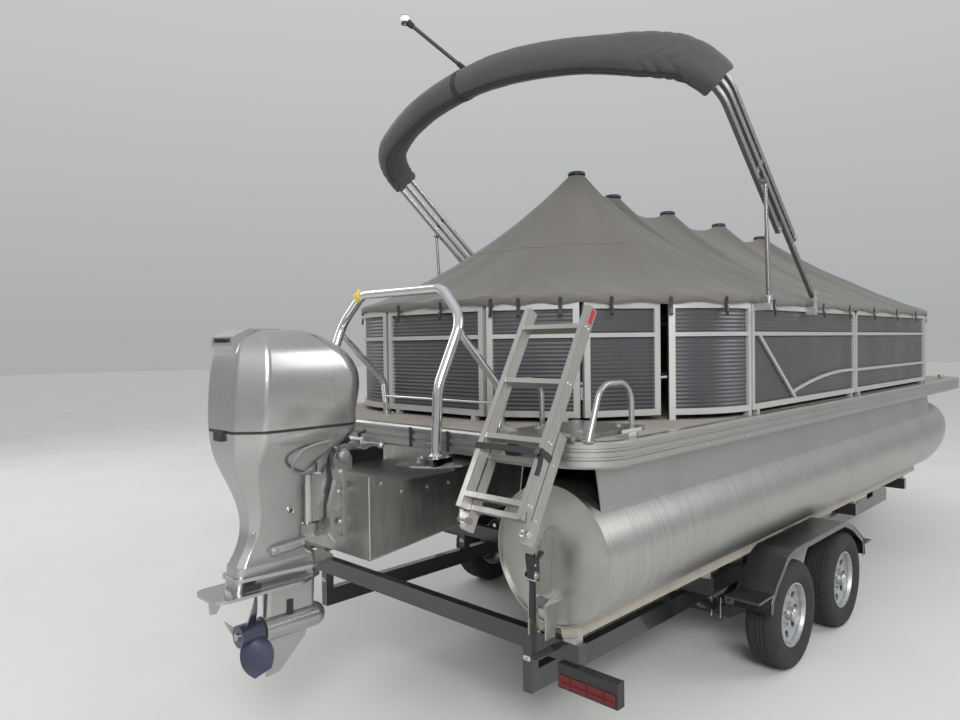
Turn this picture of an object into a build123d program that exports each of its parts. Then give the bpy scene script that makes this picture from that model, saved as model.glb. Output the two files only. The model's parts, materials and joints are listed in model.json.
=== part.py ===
"""Twin-tube pontoon boat under its mooring cover, on a tandem bunk trailer.

Millimetres. +X points to the bow, +Y to port and +Z up, with the ground at z = 0.
The model is drawn with x = 0 at the tubes' aft caps, and is moved along x at the
end so that its origin is below the middle of its length.
"""
from build123d import *
import os
from math import asin, atan2, cos, degrees, hypot, radians, sin, sqrt

STARBOARD = -1
PORT = 1

# Clearances
SEAT = 0.3
RUN = 0.05
SWING = 8.0

# Pontoon tubes
TUBE_R = 307.0
TUBE_Y = 940.0
TUBE_Z = 1004.0
TUBE_LEN = 5400.0
CAP_LIP = 12.0
NOSE_LEN = 980.0
NOSE_TIP_R = 60.0
NOSE_RISE = 120.0
FIN_T = 10.0
FIN_REACH = 95.0
STRAP_EYE = (-70.0, 1034.0)
HOOK_R = 5.0

# Deck
DECK_AFT = -90.0
DECK_FWD = 6460.0
BEAM = 2520.0
DECK_TOP = 1514.0
DECK_T = 22.0
RAIL_H = 110.0
RAIL_T = 50.0
RAIL_GROOVE = 6.0
STERN_R = 235.0
BOW_R = 350.0
MEMBER_H = 92.0
MEMBER_W = 45.0
MEMBER_WALL = 5.0
MEMBER_STEP = 440.0
MEMBER_FIRST = 190.0
RISER_HALF = 235.0
RISER_TOP_HALF = 200.0
RISER_WALL = 6.0

# Fence
FENCE_INSET = 60.0
FENCE_Y = BEAM / 2 - FENCE_INSET
FENCE_FOOT = 26.0
FENCE_TOP = 2120.0
MID_DROP = 166.0
MID_H = 22.0
POST = 32.0
SKIN_T = 5.0
RIB_PITCH = 20.7
RIB_DEPTH = 3.0
PANEL_GAP = 12.0
PANEL_R = 60.0
REAR_X = 290.0
REAR_PORT_Y = 500.0
REAR_STBD_Y = -290.0
PORT_CORNER_R = 700.0
QUARTER = (530.0, -726.0)
GATE_END = (905.0, -950.0)
QUARTER_PANEL = 1
HINGE_R = 8.0
HINGE_PIN_R = 4.5
HINGE_Z = (1640.0, 1990.0)
HINGE_H = 50.0
CORNER_START = (925.0, -985.0)
SIDE_START = 1400.0
SIDE_SPLIT = 3110.0
SIDE_END = 5000.0
BOW_FENCE_R = 300.0
BOW_GATE_HALF = 350.0
SWOOP_Z = 1708.0

# Mooring cover
COVER_T = 12.0
COVER_GAP = 6.0
COVER_HEM = 40.0
POLE_R = 12.5
VENT_R = 58.0
VENT_H = 22.0

# Folding top
TOP_HINGE = (2190.0, 1246.0, 2195.0)
TOP_LEAN = 39.3
TOP_TUBE = 30.0
TOP_LONG = 2012.0
TOP_SPREAD = 62.0
BOOT_R = 86.0
BOOT_DROP = {PORT: 542.0, STARBOARD: 412.0}
STRUT_R = 12.5
STRUT_Y = 1292.0
STRUT_FOOT = (1440.0, 2158.0)
STRUT_AT = 970.0
LIGHT_R = 11.0
PIN_R = 8.0

# Outboard motor
POD_HALF = 285.0
TRANSOM_X = -470.0
TRANSOM_TOP = 1330.0
TRANSOM_BOTTOM = 950.0
WELL_DROP = 45.0
POD_FWD = 1250.0
TILT_AXIS = (-480.0, 1415.0)
TILT_PIN_R = 18.0
STEER_X = -610.0
STEER_POST_R = 30.0
SWIVEL_R = 38.0
PROP_X = -900.0
PROP_Z = 678.0
PROP_R = 181.0
HUB_R = 48.0
SHAFT_R = 16.0
COVER_LOW = 985.0
CASE_AFT = PROP_X + 52.0
COWL_LOW = 1572.0
BEVEL = 0.46
SPLASH_Z = 930.0
WATER_PLATE_Z = 872.0

# Tow bar
TOW_R = 24.0
TOW_Y = 455.0
BRACE_R = 19.0
BRACE_FOOT_X = 225.0
WIRE_R = 7.0
PLATE_TOP = 1372.0
PLATE_T = 8.0

# Grab rails and cleats
GRAB_X = (-20.0, 300.0)
GRAB_RISE = 231.0
GRAB_SLOPE = 90.0
GRAB_BEND = 95.0
GRAB_R = 12.5
GRAB_Y = (-655.0, -1160.0)
CLEAT_X = (215.0, 5900.0)
CLEAT_IN = (55.0, 110.0)

# Boarding ladder
LADDER_W = 328.0
LADDER_Y = -929.0
LADDER_LEAN = 28.9
LADDER_RAIL = (28.0, 58.0)
LADDER_GROOVES = 5
LADDER_GROOVE = 1.5
LADDER_FOOT = (-354.0, 1243.0)
LADDER_LONG = 935.0
LADDER_OFF = 62.0
LADDER_PIVOT = -40.0
LADDER_PIN_R = 6.0
LADDER_UPPER = (-70.0, 380.0)
RUNG = (22.0, 48.0)

# Trailer
AXLE_X = (1846.0, 2694.0)
WHEEL_Y = 1190.0
TYRE_R = 313.5
TYRE_W = 185.0
RIM_R = 184.0
RIM_W = 150.0
SPINDLE_R = 20.0
FRAME_Y = 800.0
FRAME_LOW = 360.0
FRAME_H = 100.0
FRAME_W = 50.0
FRAME_AFT = 0.0
FRAME_BEND = 5300.0
TONGUE_X = 6950.0
TONGUE_END = 7720.0
TONGUE_HALF = 38.0
BEAM_LOW = 560.0
BEAM_H = 90.0
BEAM_X = (25.0, 1180.0, 2270.0, 3560.0, 4900.0)
BUNK_OUT = 85.0
BUNK_W = 88.0
BUNK_T = 42.0
BUNK_AFT = 10.0
BUNK_FWD = 5250.0
FENDER_CLEAR_IN = 11.5
FENDER_CLEAR_OUT = 15.5
FENDER_T = 4.0
FENDER_LIP = 30.0
STEP_H = 13.0
LAMP_Y = (990.0, 1290.0)
LAMP_H = 105.0
LENS_T = 14.0
STRAP_W = 25.0
STRAP_T = 3.0
STAND_LEAN = 190.0
STAND_TOP = 1480.0
JACK_X = 7300.0

RAIL_BOTTOM = DECK_TOP - RAIL_H
MEMBER_TOP = DECK_TOP - DECK_T
MEMBER_BOTTOM = MEMBER_TOP - MEMBER_H
FENCE_BASE = DECK_TOP + FENCE_FOOT
POD_WELL = TRANSOM_TOP - WELL_DROP
FENCE_MID = FENCE_TOP - MID_DROP
FENDER_IN = WHEEL_Y - TYRE_W / 2 - FENDER_CLEAR_IN
FENDER_OUT = WHEEL_Y + TYRE_W / 2 + FENDER_CLEAR_OUT
BEAM_HALF = FENDER_IN - SEAT
STAND_X = DECK_FWD + 290.0


def block(x0, x1, y0, y1, z0, z1):
    size = Box(x1 - x0, y1 - y0, z1 - z0)
    return Pos((x0 + x1) / 2, (y0 + y1) / 2, (z0 + z1) / 2) * size


def prism(points, direction, length):
    outline = Face(Wire.make_polygon([Vector(*p) for p in points], close=True))
    return extrude(outline, amount=length, dir=direction)


def prism_x(yz, x0, x1):
    return prism([(x0, y, z) for y, z in yz], (1, 0, 0), x1 - x0)


def prism_y(xz, y0, y1):
    return prism([(x, y0, z) for x, z in xz], (0, 1, 0), y1 - y0)


def prism_z(xy, z0, z1):
    return prism([(x, y, z0) for x, y in xy], (0, 0, 1), z1 - z0)


def rod(p, q, r):
    p = Vector(*p)
    q = Vector(*q)
    axis = q - p
    return Plane(origin=p, z_dir=axis) * extrude(Circle(r), amount=axis.length)


def bar(p, q, wide, deep, wide_dir=(0, 1, 0)):
    """Square-cut bar from p to q; wide is measured along wide_dir."""
    p = Vector(*p)
    axis = Vector(*q) - p
    return Plane(origin=p, x_dir=wide_dir, z_dir=axis) * extrude(Rectangle(wide, deep), amount=axis.length)


def bent_tube(points, radius, r):
    path = FilletPolyline(*points, radius=radius)
    return sweep(Plane(origin=path @ 0, z_dir=path % 0) * Circle(r), path=path)


def flip(shape):
    return mirror(shape, about=Plane.XZ)


def both_sides(shapes):
    shapes = shapes if isinstance(shapes, list) else [shapes]
    return shapes + [flip(s) for s in shapes]


# Pontoon tubes with their aft caps, keel fins and tie-down brackets
def pontoon():
    cyl = Pos(0, TUBE_Y, TUBE_Z) * Rot(0, 90, 0) * Cylinder(
        TUBE_R, TUBE_LEN, align=(Align.CENTER, Align.CENTER, Align.MIN))
    dish = Pos(0, TUBE_Y, TUBE_Z) * Rot(0, 90, 0) * Cylinder(
        TUBE_R - CAP_LIP / 2, CAP_LIP, align=(Align.CENTER, Align.CENTER, Align.MIN))
    # share of the nose's length, radius, rise
    sections = [
        (0.00, TUBE_R, 0.0),
        (0.45, TUBE_R * 0.86, NOSE_RISE * 0.2),
        (0.80, TUBE_R * 0.55, NOSE_RISE * 0.6),
        (1.00, NOSE_TIP_R, NOSE_RISE),
    ]
    rings = []
    for share, r, rise in sections:
        place = Plane(origin=(TUBE_LEN + share * NOSE_LEN, TUBE_Y, TUBE_Z + rise), z_dir=(1, 0, 0))
        rings.append(place * Circle(r))
    nose = loft(rings)
    fin = prism_y([
        (CAP_LIP + 3, TUBE_Z + 120), (-30, TUBE_Z + 120), (-FIN_REACH, TUBE_Z + 60),
        (-FIN_REACH, TUBE_Z - 140), (-20, TUBE_Z - 185), (CAP_LIP + 3, TUBE_Z - 185),
    ], TUBE_Y - FIN_T / 2, TUBE_Y + FIN_T / 2)
    shelf = block(-FIN_REACH, CAP_LIP + 3, TUBE_Y - 50, TUBE_Y + 50, TUBE_Z - 200, TUBE_Z - 185)
    cheeks = [block(-FIN_REACH, -FIN_REACH + 60, TUBE_Y + y - 4, TUBE_Y + y + 4, TUBE_Z - 330, TUBE_Z - 200)
              for y in (-46, 46)]
    eye = rod((STRAP_EYE[0], TUBE_Y - 20, STRAP_EYE[1]), (STRAP_EYE[0], TUBE_Y + 20, STRAP_EYE[1]), HOOK_R + RUN)
    return cyl - dish + nose + (fin - eye) + shelf + cheeks


def risers():
    def hat(inset):
        low = TUBE_Z + sqrt(TUBE_R ** 2 - RISER_HALF ** 2) - 30
        return [(TUBE_Y - RISER_HALF + inset, low), (TUBE_Y - RISER_TOP_HALF + inset, MEMBER_BOTTOM - inset),
                (TUBE_Y + RISER_TOP_HALF - inset, MEMBER_BOTTOM - inset), (TUBE_Y + RISER_HALF - inset, low)]
    tube = Pos(0, TUBE_Y, TUBE_Z) * Rot(0, 90, 0) * Cylinder(
        TUBE_R + SEAT, TUBE_LEN, align=(Align.CENTER, Align.CENTER, Align.MIN))
    return prism_x(hat(0), 60, TUBE_LEN) - prism_x(hat(RISER_WALL), 60, TUBE_LEN) - tube


def cross_members():
    half = BEAM / 2 - RAIL_T - SEAT
    parts = []
    x = MEMBER_FIRST
    while x < DECK_FWD - BOW_R + 60:
        c = [(x, MEMBER_BOTTOM), (x + MEMBER_W, MEMBER_BOTTOM), (x + MEMBER_W, MEMBER_BOTTOM + MEMBER_WALL),
             (x + MEMBER_WALL, MEMBER_BOTTOM + MEMBER_WALL), (x + MEMBER_WALL, MEMBER_TOP - MEMBER_WALL),
             (x + MEMBER_W, MEMBER_TOP - MEMBER_WALL), (x + MEMBER_W, MEMBER_TOP), (x, MEMBER_TOP)]
        parts.append(prism_y(c, -half, half))
        x += MEMBER_STEP
    return parts


# Deck plate and the extrusion round its edge
def deck():
    inset = RAIL_T + SEAT
    x0 = DECK_AFT + inset
    x1 = DECK_FWD - inset
    half = BEAM / 2 - inset
    plan = Pos((x0 + x1) / 2, 0) * Rectangle(x1 - x0, 2 * half)
    plan = fillet(plan.vertices().group_by(Axis.X)[0], STERN_R - inset)
    plan = fillet(plan.vertices().group_by(Axis.X)[-1], BOW_R - inset)
    return Pos(0, 0, MEMBER_TOP) * extrude(plan, amount=DECK_T)


def rail_profile(plane):
    """C-shaped edge extrusion with two grooves; local x points outboard and y up."""
    h = RAIL_H
    g = RAIL_GROOVE
    t = RAIL_T
    points = [(0, 0), (t - 8, 0), (t, 10), (t, h * 0.30), (t - g, h * 0.34), (t - g, h * 0.42), (t, h * 0.46),
              (t, h * 0.62), (t - g, h * 0.66), (t - g, h * 0.74), (t, h * 0.78), (t, h - 10), (t - 8, h), (0, h)]
    return plane * make_face(Polyline(*points, close=True))


def straight_rail(start, end, outward):
    start = Vector(start[0], start[1], RAIL_BOTTOM)
    end = Vector(end[0], end[1], RAIL_BOTTOM)
    along = end - start
    plane = Plane(origin=start, x_dir=outward, z_dir=along)
    if plane.y_dir.Z < 0:
        plane = Plane(origin=end, x_dir=outward, z_dir=start - end)
    return extrude(rail_profile(plane), amount=along.length)


def corner_rail(centre, radius, start):
    """Quarter turn of the edge extrusion about a vertical line, from the angle start."""
    a = radians(start)
    out = (cos(a), sin(a), 0)
    origin = (centre[0] + (radius - RAIL_T) * out[0], centre[1] + (radius - RAIL_T) * out[1], RAIL_BOTTOM)
    plane = Plane(origin=origin, x_dir=out, z_dir=(sin(a), -cos(a), 0))
    gap = degrees(SEAT / radius)
    turn = revolve(rail_profile(plane), axis=Axis((centre[0], centre[1], 0), (0, 0, 1)), revolution_arc=90 - gap)
    return turn


def deck_rails():
    inner = BEAM / 2 - RAIL_T
    side = straight_rail((DECK_AFT + STERN_R + SEAT, inner), (DECK_FWD - BOW_R - SEAT, inner), (0, 1, 0))
    front_x = DECK_FWD - RAIL_T
    front = straight_rail((front_x, -(BEAM / 2 - BOW_R - SEAT)), (front_x, BEAM / 2 - BOW_R - SEAT), (1, 0, 0))
    bow = corner_rail((DECK_FWD - BOW_R, BEAM / 2 - BOW_R), BOW_R, 0)
    return both_sides([side, bow]) + [front]


def stern_trim():
    corner = corner_rail((DECK_AFT + STERN_R, BEAM / 2 - STERN_R), STERN_R, 90)
    x_in = DECK_AFT + RAIL_T
    end = BEAM / 2 - STERN_R - SEAT
    fascia = straight_rail((x_in, -end), (x_in, end), (-1, 0, 0))
    return both_sides(corner) + [fascia]


# Fence: framed panels, straight or curved in plan, with horizontally ribbed skins
def panel_plane(p, q):
    dx = q[0] - p[0]
    dy = q[1] - p[1]
    return Plane(origin=(p[0], p[1], 0), x_dir=(dx, dy, 0), z_dir=(dy, -dx, 0))


def outline(width, height, radius, ends):
    """Upright rectangle; its top corner is round at each end that is named."""
    face = Pos(width / 2, (FENCE_TOP + FENCE_BASE) / 2) * Rectangle(width, height)
    top = face.vertices().group_by(Axis.Y)[-1].sort_by(Axis.X)
    rounded = [top[0 if end == "start" else -1] for end in ends]
    return fillet(rounded, radius) if rounded else face


def rib_outline(low, high, back, front):
    """Cut through a ribbed skin: flat at the back, with ridges on its front."""
    count = round((high - low) / RIB_PITCH)
    pitch = (high - low) / count
    points = [(back, low), (front - RIB_DEPTH, low)]
    for k in range(count):
        points.append((front, low + (k + 0.5) * pitch))
        points.append((front - RIB_DEPTH, low + (k + 1) * pitch))
    points.append((back, high))
    return make_face(Polyline(*points, close=True))


def ribbed_strip(p, q, outside):
    start, end = (q, p) if outside > 0 else (p, q)
    dx = end[0] - start[0]
    dy = end[1] - start[1]
    length = hypot(dx, dy)
    inset = (POST + SEAT) / length
    origin = (start[0] + dx * inset, start[1] + dy * inset, 0)
    plane = Plane(origin=origin, x_dir=(-dy, dx, 0), z_dir=(dx, dy, 0))
    face = rib_outline(FENCE_BASE + POST + SEAT, FENCE_TOP - POST - SEAT, -SKIN_T / 2, SKIN_T / 2)
    return extrude(plane * face, amount=length * (1 - 2 * inset))


def flat_panel(p, q, bars=(), outside=1, round_ends=(), feet=True):
    """Frame and skin between two plan points; bars are extra strips on the outer face."""
    plane = panel_plane(p, q)
    width = hypot(q[0] - p[0], q[1] - p[1])
    height = FENCE_TOP - FENCE_BASE
    full = outline(width, height, PANEL_R, round_ends)
    window = Pos(POST, 0) * outline(width - 2 * POST, height - 2 * POST, PANEL_R - POST, round_ends)
    frame = extrude(plane * (full - window), amount=POST / 2, both=True)
    strips = [Pos(width / 2, FENCE_MID) * Rectangle(width - POST, MID_H)]
    strips += list(bars)
    near = outside * (SKIN_T / 2 + SEAT)
    inner = Pos(width / 2, (FENCE_TOP + FENCE_BASE) / 2) * Rectangle(width - POST, height - POST)
    for strip in strips:
        lifted = Plane(origin=plane.origin + plane.z_dir * near, x_dir=plane.x_dir, z_dir=plane.z_dir)
        frame += extrude(lifted * (strip & inner), amount=outside * (POST / 2 - SKIN_T / 2 - SEAT))
    for u in (PANEL_R + POST / 2, width - PANEL_R - POST / 2) if feet else ():
        foot = Pos(u, DECK_TOP + FENCE_FOOT / 2 + 1) * Rectangle(POST, FENCE_FOOT + 2)
        frame += extrude(plane * foot, amount=POST / 2, both=True)
    skin = ribbed_strip(p, q, outside)
    if round_ends:
        pane = Pos(POST + SEAT, 0) * outline(width - 2 * POST - 2 * SEAT, height - 2 * POST - 2 * SEAT,
                                             PANEL_R - POST, round_ends)
        skin = skin & extrude(plane * pane, amount=SKIN_T, both=True)
    return frame, skin


def arc_band(centre, radius, start, sweep_deg, thick, z0, z1):
    outer = CenterArc((centre[0], centre[1], z0), radius + thick / 2, start, sweep_deg)
    inner = CenterArc((centre[0], centre[1], z0), radius - thick / 2, start, sweep_deg)
    edges = [outer, inner, Line(outer @ 0, inner @ 0), Line(outer @ 1, inner @ 1)]
    return extrude(make_face(edges), amount=z1 - z0, dir=(0, 0, 1))


def curved_panel(centre, radius, start, sweep_deg):
    post = degrees(POST / radius)
    frame = arc_band(centre, radius, start, sweep_deg, POST, FENCE_BASE, FENCE_BASE + POST)
    frame += arc_band(centre, radius, start, sweep_deg, POST, FENCE_TOP - POST, FENCE_TOP)
    for a in (start, start + sweep_deg - post):
        frame += arc_band(centre, radius, a, post, POST, DECK_TOP, FENCE_TOP)
    outer = POST / 2 - SKIN_T / 2 - SEAT
    frame += arc_band(centre, radius + (POST - outer) / 2, start, sweep_deg, outer,
                      FENCE_MID - MID_H / 2, FENCE_MID + MID_H / 2)
    trim = degrees(SEAT / radius)
    a = radians(start + post + trim)
    plane = Plane(origin=(centre[0], centre[1], 0), x_dir=(cos(a), sin(a), 0), z_dir=(sin(a), -cos(a), 0))
    face = rib_outline(FENCE_BASE + POST + SEAT, FENCE_TOP - POST - SEAT, radius - SKIN_T / 2, radius + SKIN_T / 2)
    skin = revolve(plane * face, axis=Axis((centre[0], centre[1], 0), (0, 0, 1)),
                   revolution_arc=sweep_deg - 2 * post - 2 * trim)
    return frame, skin


def swoop_bars(start_x, length):
    """Slanted strip and rising curve on a side panel that starts at start_x."""
    top = (1480 - start_x, FENCE_MID)
    low = (2040 - start_x, FENCE_BASE)
    slant = make_face(Polyline(top, (top[0] + 34, top[1]), (low[0] + 34, low[1]), low, close=True))
    a = (1960 - start_x, SWOOP_Z - 95)
    b = (length, SWOOP_Z)
    mid = ((a[0] + b[0]) / 2 - 60, SWOOP_Z - 18)
    upper = ThreePointArc(a, mid, b)
    lower = ThreePointArc((a[0], a[1] - 18), (mid[0], mid[1] - 18), (b[0], b[1] - 18))
    curve = make_face([upper, lower, Line(upper @ 0, lower @ 0), Line(upper @ 1, lower @ 1)])
    return [slant, curve]


def level_bar(length):
    return [Pos(length / 2, SWOOP_Z - 9) * Rectangle(length, 18)]


def fence():
    frames = []
    skins = []

    def add(pair):
        frames.append(pair[0])
        skins.append(pair[1])

    half_gap = PANEL_GAP / 2
    # transverse rear panel, the starboard quarter panel and the curved corners
    add(flat_panel((REAR_X, REAR_PORT_Y - half_gap), (REAR_X, REAR_STBD_Y + half_gap)))
    add(flat_panel((REAR_X + half_gap, REAR_STBD_Y - half_gap), (QUARTER[0] - half_gap, QUARTER[1] + half_gap)))
    add(curved_panel((REAR_X + PORT_CORNER_R, REAR_PORT_Y), PORT_CORNER_R, 91, 88))
    dx = SIDE_START - CORNER_START[0]
    dy = CORNER_START[1] + FENCE_Y
    turn_r = (dx ** 2 + dy ** 2) / (2 * dy)
    start = degrees(atan2(dy - turn_r, -dx)) % 360
    edge = degrees(half_gap / turn_r)
    add(curved_panel((SIDE_START, turn_r - FENCE_Y), turn_r, start, 270 - start - edge))
    bow = (SIDE_END, -FENCE_Y + BOW_FENCE_R)
    add(curved_panel(bow, BOW_FENCE_R, 272, 86))
    add(curved_panel((bow[0], -bow[1]), BOW_FENCE_R, 2, 86))
    # side panels: start, split and end
    for side in (STARBOARD, PORT):
        first = SIDE_START if side == STARBOARD else REAR_X + PORT_CORNER_R
        a = first + half_gap
        b = SIDE_SPLIT - half_gap
        c = SIDE_SPLIT + half_gap
        d = SIDE_END - half_gap
        y = side * FENCE_Y
        outside = 1 if side == STARBOARD else -1
        add(flat_panel((a, y), (b, y), swoop_bars(a, b - a), outside, ("end",)))
        add(flat_panel((c, y), (d, y), level_bar(d - c), outside, ("start",)))
        bow_x = SIDE_END + BOW_FENCE_R
        inner = side * (BOW_GATE_HALF + half_gap)
        outer = side * (FENCE_Y - BOW_FENCE_R - half_gap)
        add(flat_panel((bow_x, outer), (bow_x, inner), (), outside))
        if side == STARBOARD:
            frames[-1] += gate_pins(bow_gate_line())
    frames[QUARTER_PANEL] += gate_pins(rear_gate_line())
    return frames, skins


def rear_gate_line():
    dx = GATE_END[0] - QUARTER[0]
    dy = GATE_END[1] - QUARTER[1]
    length = hypot(dx, dy)
    ux = dx / length
    uy = dy / length
    p = (QUARTER[0] + SWING * ux, QUARTER[1] + SWING * uy)
    q = (GATE_END[0] - SWING * ux, GATE_END[1] - SWING * uy)
    return p, q


def bow_gate_line():
    x = SIDE_END + BOW_FENCE_R
    return (x, -BOW_GATE_HALF + SWING), (x, BOW_GATE_HALF - SWING)


def leaf_frame(p, q):
    """Frame on the hinge line of a leaf: local x runs along the leaf and local y points inboard."""
    dx = q[0] - p[0]
    dy = q[1] - p[1]
    length = hypot(dx, dy)
    off = POST / 2 + HINGE_R + 1
    origin = (p[0] - dy / length * off, p[1] + dx / length * off, 0)
    return Plane(origin=origin, x_dir=(dx, dy, 0), z_dir=(0, 0, 1))


def gate_leaf(line):
    frame, skin = flat_panel(*line, feet=False)
    plane = leaf_frame(*line)
    face = HINGE_R + 1
    for z in HINGE_Z:
        tab = Pos(17, -face / 2 - 0.5, z) * extrude(Rectangle(34, face + 1), amount=HINGE_H)
        barrel = Pos(0, 0, z) * extrude(Circle(HINGE_R), amount=HINGE_H)
        frame += plane * (barrel + tab)
        frame -= plane * (Pos(0, 0, z - 5) * extrude(Circle(HINGE_PIN_R + RUN), amount=HINGE_H + 10))
    return frame, skin


def gate_pins(line):
    """Lugs and pins of one gate, inboard of the fixed post beside it."""
    plane = leaf_frame(*line)
    parts = []
    for z in HINGE_Z:
        plan = Pos(-20, 0) * Rectangle(40, 2 * HINGE_R) + Circle(HINGE_R)
        plan += Pos(-23, -HINGE_R) * Rectangle(30, 6)
        lug = Pos(0, 0, z - 12) * extrude(plan, amount=12 - SEAT)
        pin = Pos(0, 0, z - 12) * extrude(Circle(HINGE_PIN_R), amount=HINGE_H + 16)
        parts.append(plane * (lug + pin))
    return parts


# Mooring cover: thin shell whose ridge rises at each pole
# x, port edge, starboard edge, ridge height, sag of the slope
COVER_SECTIONS = [
    (262, 500, -290, 2178, 4),
    (520, 1040, -745, 2290, 25),
    (900, 1200, -975, 2500, 55),
    (1200, 1224, -1193, 2730, 75),
    (1480, 1224, -1224, 3020, 100),
    (1690, 1224, -1224, 2900, 50),
    (1900, 1224, -1224, 2925, 70),
    (2270, 1224, -1224, 2830, 45),
    (2650, 1224, -1224, 2900, 70),
    (3080, 1224, -1224, 2815, 45),
    (3510, 1224, -1224, 2900, 70),
    (3930, 1224, -1224, 2800, 45),
    (4350, 1224, -1224, 2870, 70),
    (4980, 1224, -1224, 2450, 50),
    (5322, 905, -905, 2190, 10),
]
POLE_XS = [1480, 1900, 2650, 3510, 4350]


def ridge_at(x):
    for row in COVER_SECTIONS:
        if row[0] == x:
            return row[3]


def cover_section(row, inset):
    x, port, stbd, ridge, sag = row
    low = FENCE_TOP + COVER_GAP
    edge = low + COVER_HEM - inset
    port -= inset
    stbd += inset
    ridge -= inset * 1.25
    low -= 1 if inset else 0
    mids = [((y) / 2, (edge + ridge) / 2 - sag) for y in (port, stbd)]
    place = Plane(origin=(x, 0, 0), x_dir=(0, 1, 0), z_dir=(1, 0, 0))
    edges = [
        Line((stbd, low), (port, low)),
        Line((port, low), (port, edge)),
        ThreePointArc((port, edge), mids[0], (0, ridge)),
        ThreePointArc((0, ridge), mids[1], (stbd, edge)),
        Line((stbd, edge), (stbd, low)),
    ]
    return place * make_face(edges)


def cover():
    outer = loft([cover_section(r, 0) for r in COVER_SECTIONS], ruled=True)
    rows = [list(r) for r in COVER_SECTIONS]
    rows[0][0] += COVER_T
    rows[-1][0] -= COVER_T
    inner = loft([cover_section(r, COVER_T) for r in rows], ruled=True)
    return outer - inner


def cover_poles():
    parts = []
    for x in POLE_XS:
        top = ridge_at(x)
        pole_top = top - COVER_T * 1.25 - POLE_R * 1.6
        pole = rod((x, 0, DECK_TOP + SEAT), (x, 0, pole_top), POLE_R)
        foot = rod((x, 0, DECK_TOP + SEAT), (x, 0, DECK_TOP + 12), 45)
        parts.append(pole + foot)
        rim = rod((x, 0, top + SEAT), (x, 0, top + SEAT + VENT_H), VENT_R)
        parts.append(fillet(rim.edges().group_by(Axis.Z)[-1], VENT_H * 0.7))
    return parts


# Folding top, lying aft on its struts in its boot
LEAN = (-cos(radians(TOP_LEAN)), sin(radians(TOP_LEAN)))
NORMAL = (sin(radians(TOP_LEAN)), cos(radians(TOP_LEAN)))


def lean_point(s, y, off=0.0):
    return (TOP_HINGE[0] + LEAN[0] * s + NORMAL[0] * off, y, TOP_HINGE[2] + LEAN[1] * s + NORMAL[1] * off)


def bow_points(start, long):
    """Half of a bow in its own plane: up the leg, round the shoulder and over to the middle."""
    y = TOP_HINGE[1]
    return [(start, y), (long - 322, y + 22), (long - 87, y - 526), (long + 28, 0)]


BOW_RADII = [330, 2600, 2300, 2600, 330]


def bow_path(start, off, long):
    half = bow_points(start, long)
    points = [lean_point(s, w, off) for s, w in half]
    points += [lean_point(s, -w, off) for s, w in reversed(half[:-1])]
    return FilletPolyline(*points, radius=BOW_RADII)


# start along the main bow, offset from it
BOWS = [(0.0, 0.0), (430.0, TOP_SPREAD), (620.0, -TOP_SPREAD)]


def top_bows(size):
    shape = None
    for start, off in BOWS:
        path = bow_path(start - 20, off, TOP_LONG)
        square = Plane(origin=path @ 0, x_dir=(0, 1, 0), z_dir=path % 0) * RectangleRounded(size, size, 5)
        bow = sweep(square, path=path)
        shape = bow if shape is None else shape + bow
    return shape


def top_frame():
    shape = top_bows(TOP_TUBE)
    for side in (1, -1):
        y = side * TOP_HINGE[1]
        for start, off in BOWS[1:]:
            shape += bar(lean_point(start, y, 0), lean_point(start, y, off), 12, 34)
    head = strut_head()
    for side in (1, -1):
        shape += rod((head[0], side * TOP_HINGE[1], head[2]), (head[0], side * (STRUT_Y + 16), head[2]), PIN_R)
    hinge = rod((TOP_HINGE[0], -1400, TOP_HINGE[2]), (TOP_HINGE[0], 1400, TOP_HINGE[2]), PIN_R + RUN)
    return shape - hinge


def top_boot():
    path = bow_path(TOP_LONG - BOOT_DROP[PORT] - BOOT_R, 0, TOP_LONG)
    sleeve = sweep(Plane(origin=path @ 0, z_dir=path % 0) * Circle(BOOT_R), path=path)
    for side, drop in BOOT_DROP.items():
        end = Plane(origin=lean_point(TOP_LONG - drop, side * TOP_HINGE[1]), x_dir=(0, 1, 0), z_dir=(LEAN[0], 0, LEAN[1]))
        sleeve -= end * Pos(0, 0, -2 * BOOT_R) * Box(5 * BOOT_R, 5 * BOOT_R, 4 * BOOT_R)
    return sleeve - top_bows(TOP_TUBE + 2 * SEAT)


def light_pole():
    at = TOP_LONG - 10
    base = lean_point(at, 200, BOOT_R + 2 * SEAT)
    top = lean_point(at, 200, BOOT_R + 18)
    start = lean_point(at, 200, BOOT_R + 14)
    tip = (start[0] - 300, start[1] + 250, start[2] + 310)
    return rod(base, top, 28) + rod(start, tip, LIGHT_R) + Pos(*tip) * Cylinder(24, 48)


def strut_head():
    return lean_point(STRUT_AT, STRUT_Y, -TOP_SPREAD)


def struts():
    head = strut_head()
    foot = (STRUT_FOOT[0], STRUT_Y, STRUT_FOOT[1])
    eye = rod((head[0], STRUT_Y - 12, head[2]), (head[0], STRUT_Y + 12, head[2]), 18)
    middle = (foot[0] + (head[0] - foot[0]) * 0.55, STRUT_Y, foot[2] + (head[2] - foot[2]) * 0.55)
    sleeve = rod(foot, middle, STRUT_R)
    shape = rod(foot, head, STRUT_R * 0.8) + sleeve + eye
    shape -= rod((head[0], STRUT_Y - 20, head[2]), (head[0], STRUT_Y + 20, head[2]), PIN_R + RUN)
    return both_sides(shape)


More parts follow.
